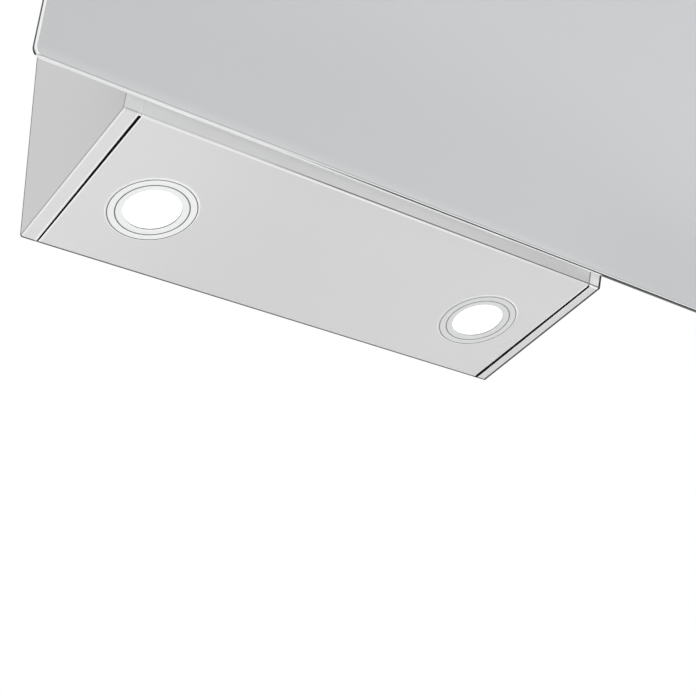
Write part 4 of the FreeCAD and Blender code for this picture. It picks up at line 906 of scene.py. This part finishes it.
def screwRows(values):
    # pan head, height = tall * (1 - dome * (r / head)^power), with a cross cut where |x| or |z| is under
    # the slot's half width
    r = np.linspace(0, values["head"], values["rings"])[:, None]
    angle = np.linspace(0, 2 * np.pi, values["turns"], endpoint=False)[None]
    x, z = r * np.cos(angle), r * np.sin(angle)
    narrow = np.minimum(np.abs(x), np.abs(z))
    cut = np.clip((values["crossHalf"] - narrow) / values["wallSlope"] + 0.5, 0, 1)
    cut = cut * np.clip((values["crossReach"] - r) / values["endSlope"], 0, 1)
    dome = 1 - values["dome"] * (r / values["head"]) ** values["domePower"]
    depth = values["seat"] - values["tall"] * dome + values["crossDeep"] * cut
    rest = np.array([(values["head"], values["seat"]), (values["shank"], values["seat"]),
                     (values["shank"], values["end"]), (0, values["end"])])
    rest = turned(rest, values["turns"])[..., [0, 2, 1]]
    return np.concatenate([np.stack([x, depth, z], -1), rest])


screwSpots = [(sign * hingeScrew["across"] + beside * hingeScrew["apart"], 0, hingeScrew["height"])
              for sign in (-1, 1) for beside in (-1, 1)]
screws = screwRows(hingeScrew)[None] + np.array(screwSpots)[:, None, None]
piece = surface("hingeScrewHeads", onFront(screws), wrapCols=True, sharp=hingeScrew["sharp"])
settle(piece, "hood", "spring_steel", metals["springSteel"], "hinge_screws")

cableGland = {
    "across": 0.100, "setback": 0.024, "low": 0.053, "plateLow": 0.058, "plateHigh": 0.059,
    "nutHigh": 0.064, "domeHigh": 0.073, "high": 0.078,
    "bore": 0.004, "thread": 0.010, "nut": 0.013, "dome": 0.0105, "crown": 0.0085,
    "round": 0.0008, "ribs": 20, "ribDeep": 0.05, "turns": 180, "sharp": 28,
    "nutFrom": 0.0111, "domeFrom": 0.006, "hair": 1e-5,   # the nuts and dome are shaped past these radii
}


def glandRows(values):
    # section of the cable gland turned about Z; the nuts are six-sided, radius = nut * cos 30 /
    # cos(angle to the flat's middle), and the dome has shallow grip ribs,
    # radius * (1 - ribDeep * |cos(ribs * angle / 2)|)
    bore, nut, thread, dome = values["bore"], values["nut"], values["thread"], values["dome"]
    plateLow, plateHigh, nutHigh = values["plateLow"], values["plateHigh"], values["nutHigh"]
    profile = softened([(bore, values["low"]), (nut, values["low"]), (nut, plateLow), (thread, plateLow),
                        (thread, plateHigh), (nut, plateHigh), (nut, nutHigh), (dome, nutHigh),
                        (dome, values["domeHigh"]), (values["crown"], values["high"]),
                        (bore, values["high"])], values["round"])
    angle = np.linspace(0, 2 * np.pi, values["turns"], endpoint=False)[None]
    six = np.cos(np.pi / 6) / np.cos((angle + np.pi / 6) % (np.pi / 3) - np.pi / 6)
    ribs = 1 - values["ribDeep"] * np.abs(np.cos(values["ribs"] * angle / 2))
    radius, height = profile[:, :1], profile[:, 1:]
    aboveNuts = height > nutHigh + values["hair"]
    isNut = (radius > values["nutFrom"]) & ~aboveNuts
    isDome = (radius > values["domeFrom"]) & aboveNuts
    factor = np.where(isNut, six, np.where(isDome, ribs, 1.0))
    return turned(profile, values["turns"]) * np.stack([factor, factor, np.ones_like(factor)], -1)


gland = glandRows(cableGland) + [cableGland["across"], -cableGland["setback"], 0]
piece = surface("cableGlandNuts", gland[None], wrapRows=True, wrapCols=True, sharp=cableGland["sharp"])
settle(piece, "hood", "black_plastic", blackPlastic, "cable_gland")
print("small parts: screws and cable gland")


cameraView = {
    "spot": (-0.6048, -0.8544, -0.8330),   # below the hood, to its left
    "turn": 38.23, "rise": 22.67,
    "lens": 76.8, "sensor": 36.0,
}
studio = {
    "floorHeight": -2.0, "floorHalf": 30.0, "floorColour": 0.86, "floorRough": 0.9, "floorLift": 0.42,
    "sky": 0.50,
    "lamps": {   # where it stands, what it faces, width, power
        "leftSoft": ((-2.30, -0.70, -1.30), (0.0, -0.1, -0.30), 2.4, 20.3),
        "lowFrontSoft": ((1.30, -1.50, -1.80), (0.0, -0.15, -0.30), 1.3, 32.5),
        "topSoft": ((-1.2, -1.6, 2.2), (0.0, -0.1, 0.1), 2.6, 29.0),
        "backSoft": ((1.4, 2.2, 1.2), (0.0, -0.1, 0.0), 2.4, 18.0),
    },
}

camera = bpy.data.objects.new("photoCamera", bpy.data.cameras.new("photoCamera"))
camera.data.lens = cameraView["lens"]
camera.data.sensor_width = cameraView["sensor"]
camera.location = cameraView["spot"]
camera.rotation_euler = np.radians([90 + cameraView["rise"], 0, -cameraView["turn"]])
scene.collection.objects.link(camera)
scene.camera = camera
scene.view_settings.view_transform = "Standard"


def backgroundRays(wire):
    # 1 for the rays that show the background: straight to the camera, off a gloss or through glass
    kinds = ("Is Camera Ray", "Is Glossy Ray", "Is Transmission Ray")
    straight, glossy, through = (wire.node("ShaderNodeLightPath", None, None, kind) for kind in kinds)
    return straight.either(glossy, through)


world = bpy.data.worlds.new("studio")
scene.world = world
world.use_nodes = True
world.node_tree.nodes.clear()
sky = Wire(world.node_tree)
glow = sky.node("ShaderNodeBackground", None,
                {"Color": grey(1.0), "Strength": backgroundRays(sky).scaled(studio["sky"], 1)})
sky.node("ShaderNodeOutputWorld", None, {"Surface": glow})

for name, (spot, target, width, power) in studio["lamps"].items():
    light = bpy.data.lights.new(name, "AREA")
    light.size = width
    light.energy = power
    lamp = bpy.data.objects.new(name, light)
    lamp.location = spot
    lamp.rotation_euler = (Vector(target) - Vector(spot)).to_track_quat("-Z", "Y").to_euler()
    lamp.visible_camera = False
    lamp.visible_glossy = False   # no bright patches in the glass
    scene.collection.objects.link(lamp)

half, level = studio["floorHalf"], studio["floorHeight"]
floorMesh = bpy.data.meshes.new("floor")
floorCorners = [(-half, -half, level), (half, -half, level), (half, half, level), (-half, half, level)]
floorMesh.from_pydata(floorCorners, [], [(0, 1, 2, 3)])
floor = bpy.data.objects.new("floor", floorMesh)
scene.collection.objects.link(floor)
floorFinish, wire = startFinish("paleFloor")
floorLook = {"Base Color": grey(studio["floorColour"]), "Roughness": studio["floorRough"],
             "Specular IOR Level": 0.0, "Emission Color": grey(1.0)}
plain, lifted = (wire.node("ShaderNodeBsdfPrincipled", None, {**floorLook, "Emission Strength": lift})
                 for lift in (0.0, studio["floorLift"]))
shader = wire.node("ShaderNodeMixShader", None, {0: backgroundRays(wire), 1: plain, 2: lifted})
wire.node("ShaderNodeOutputMaterial", None, {"Surface": shader})
floorMesh.materials.append(floorFinish)
print("studio: camera, sky,", len(studio["lamps"]), "lamps and floor")
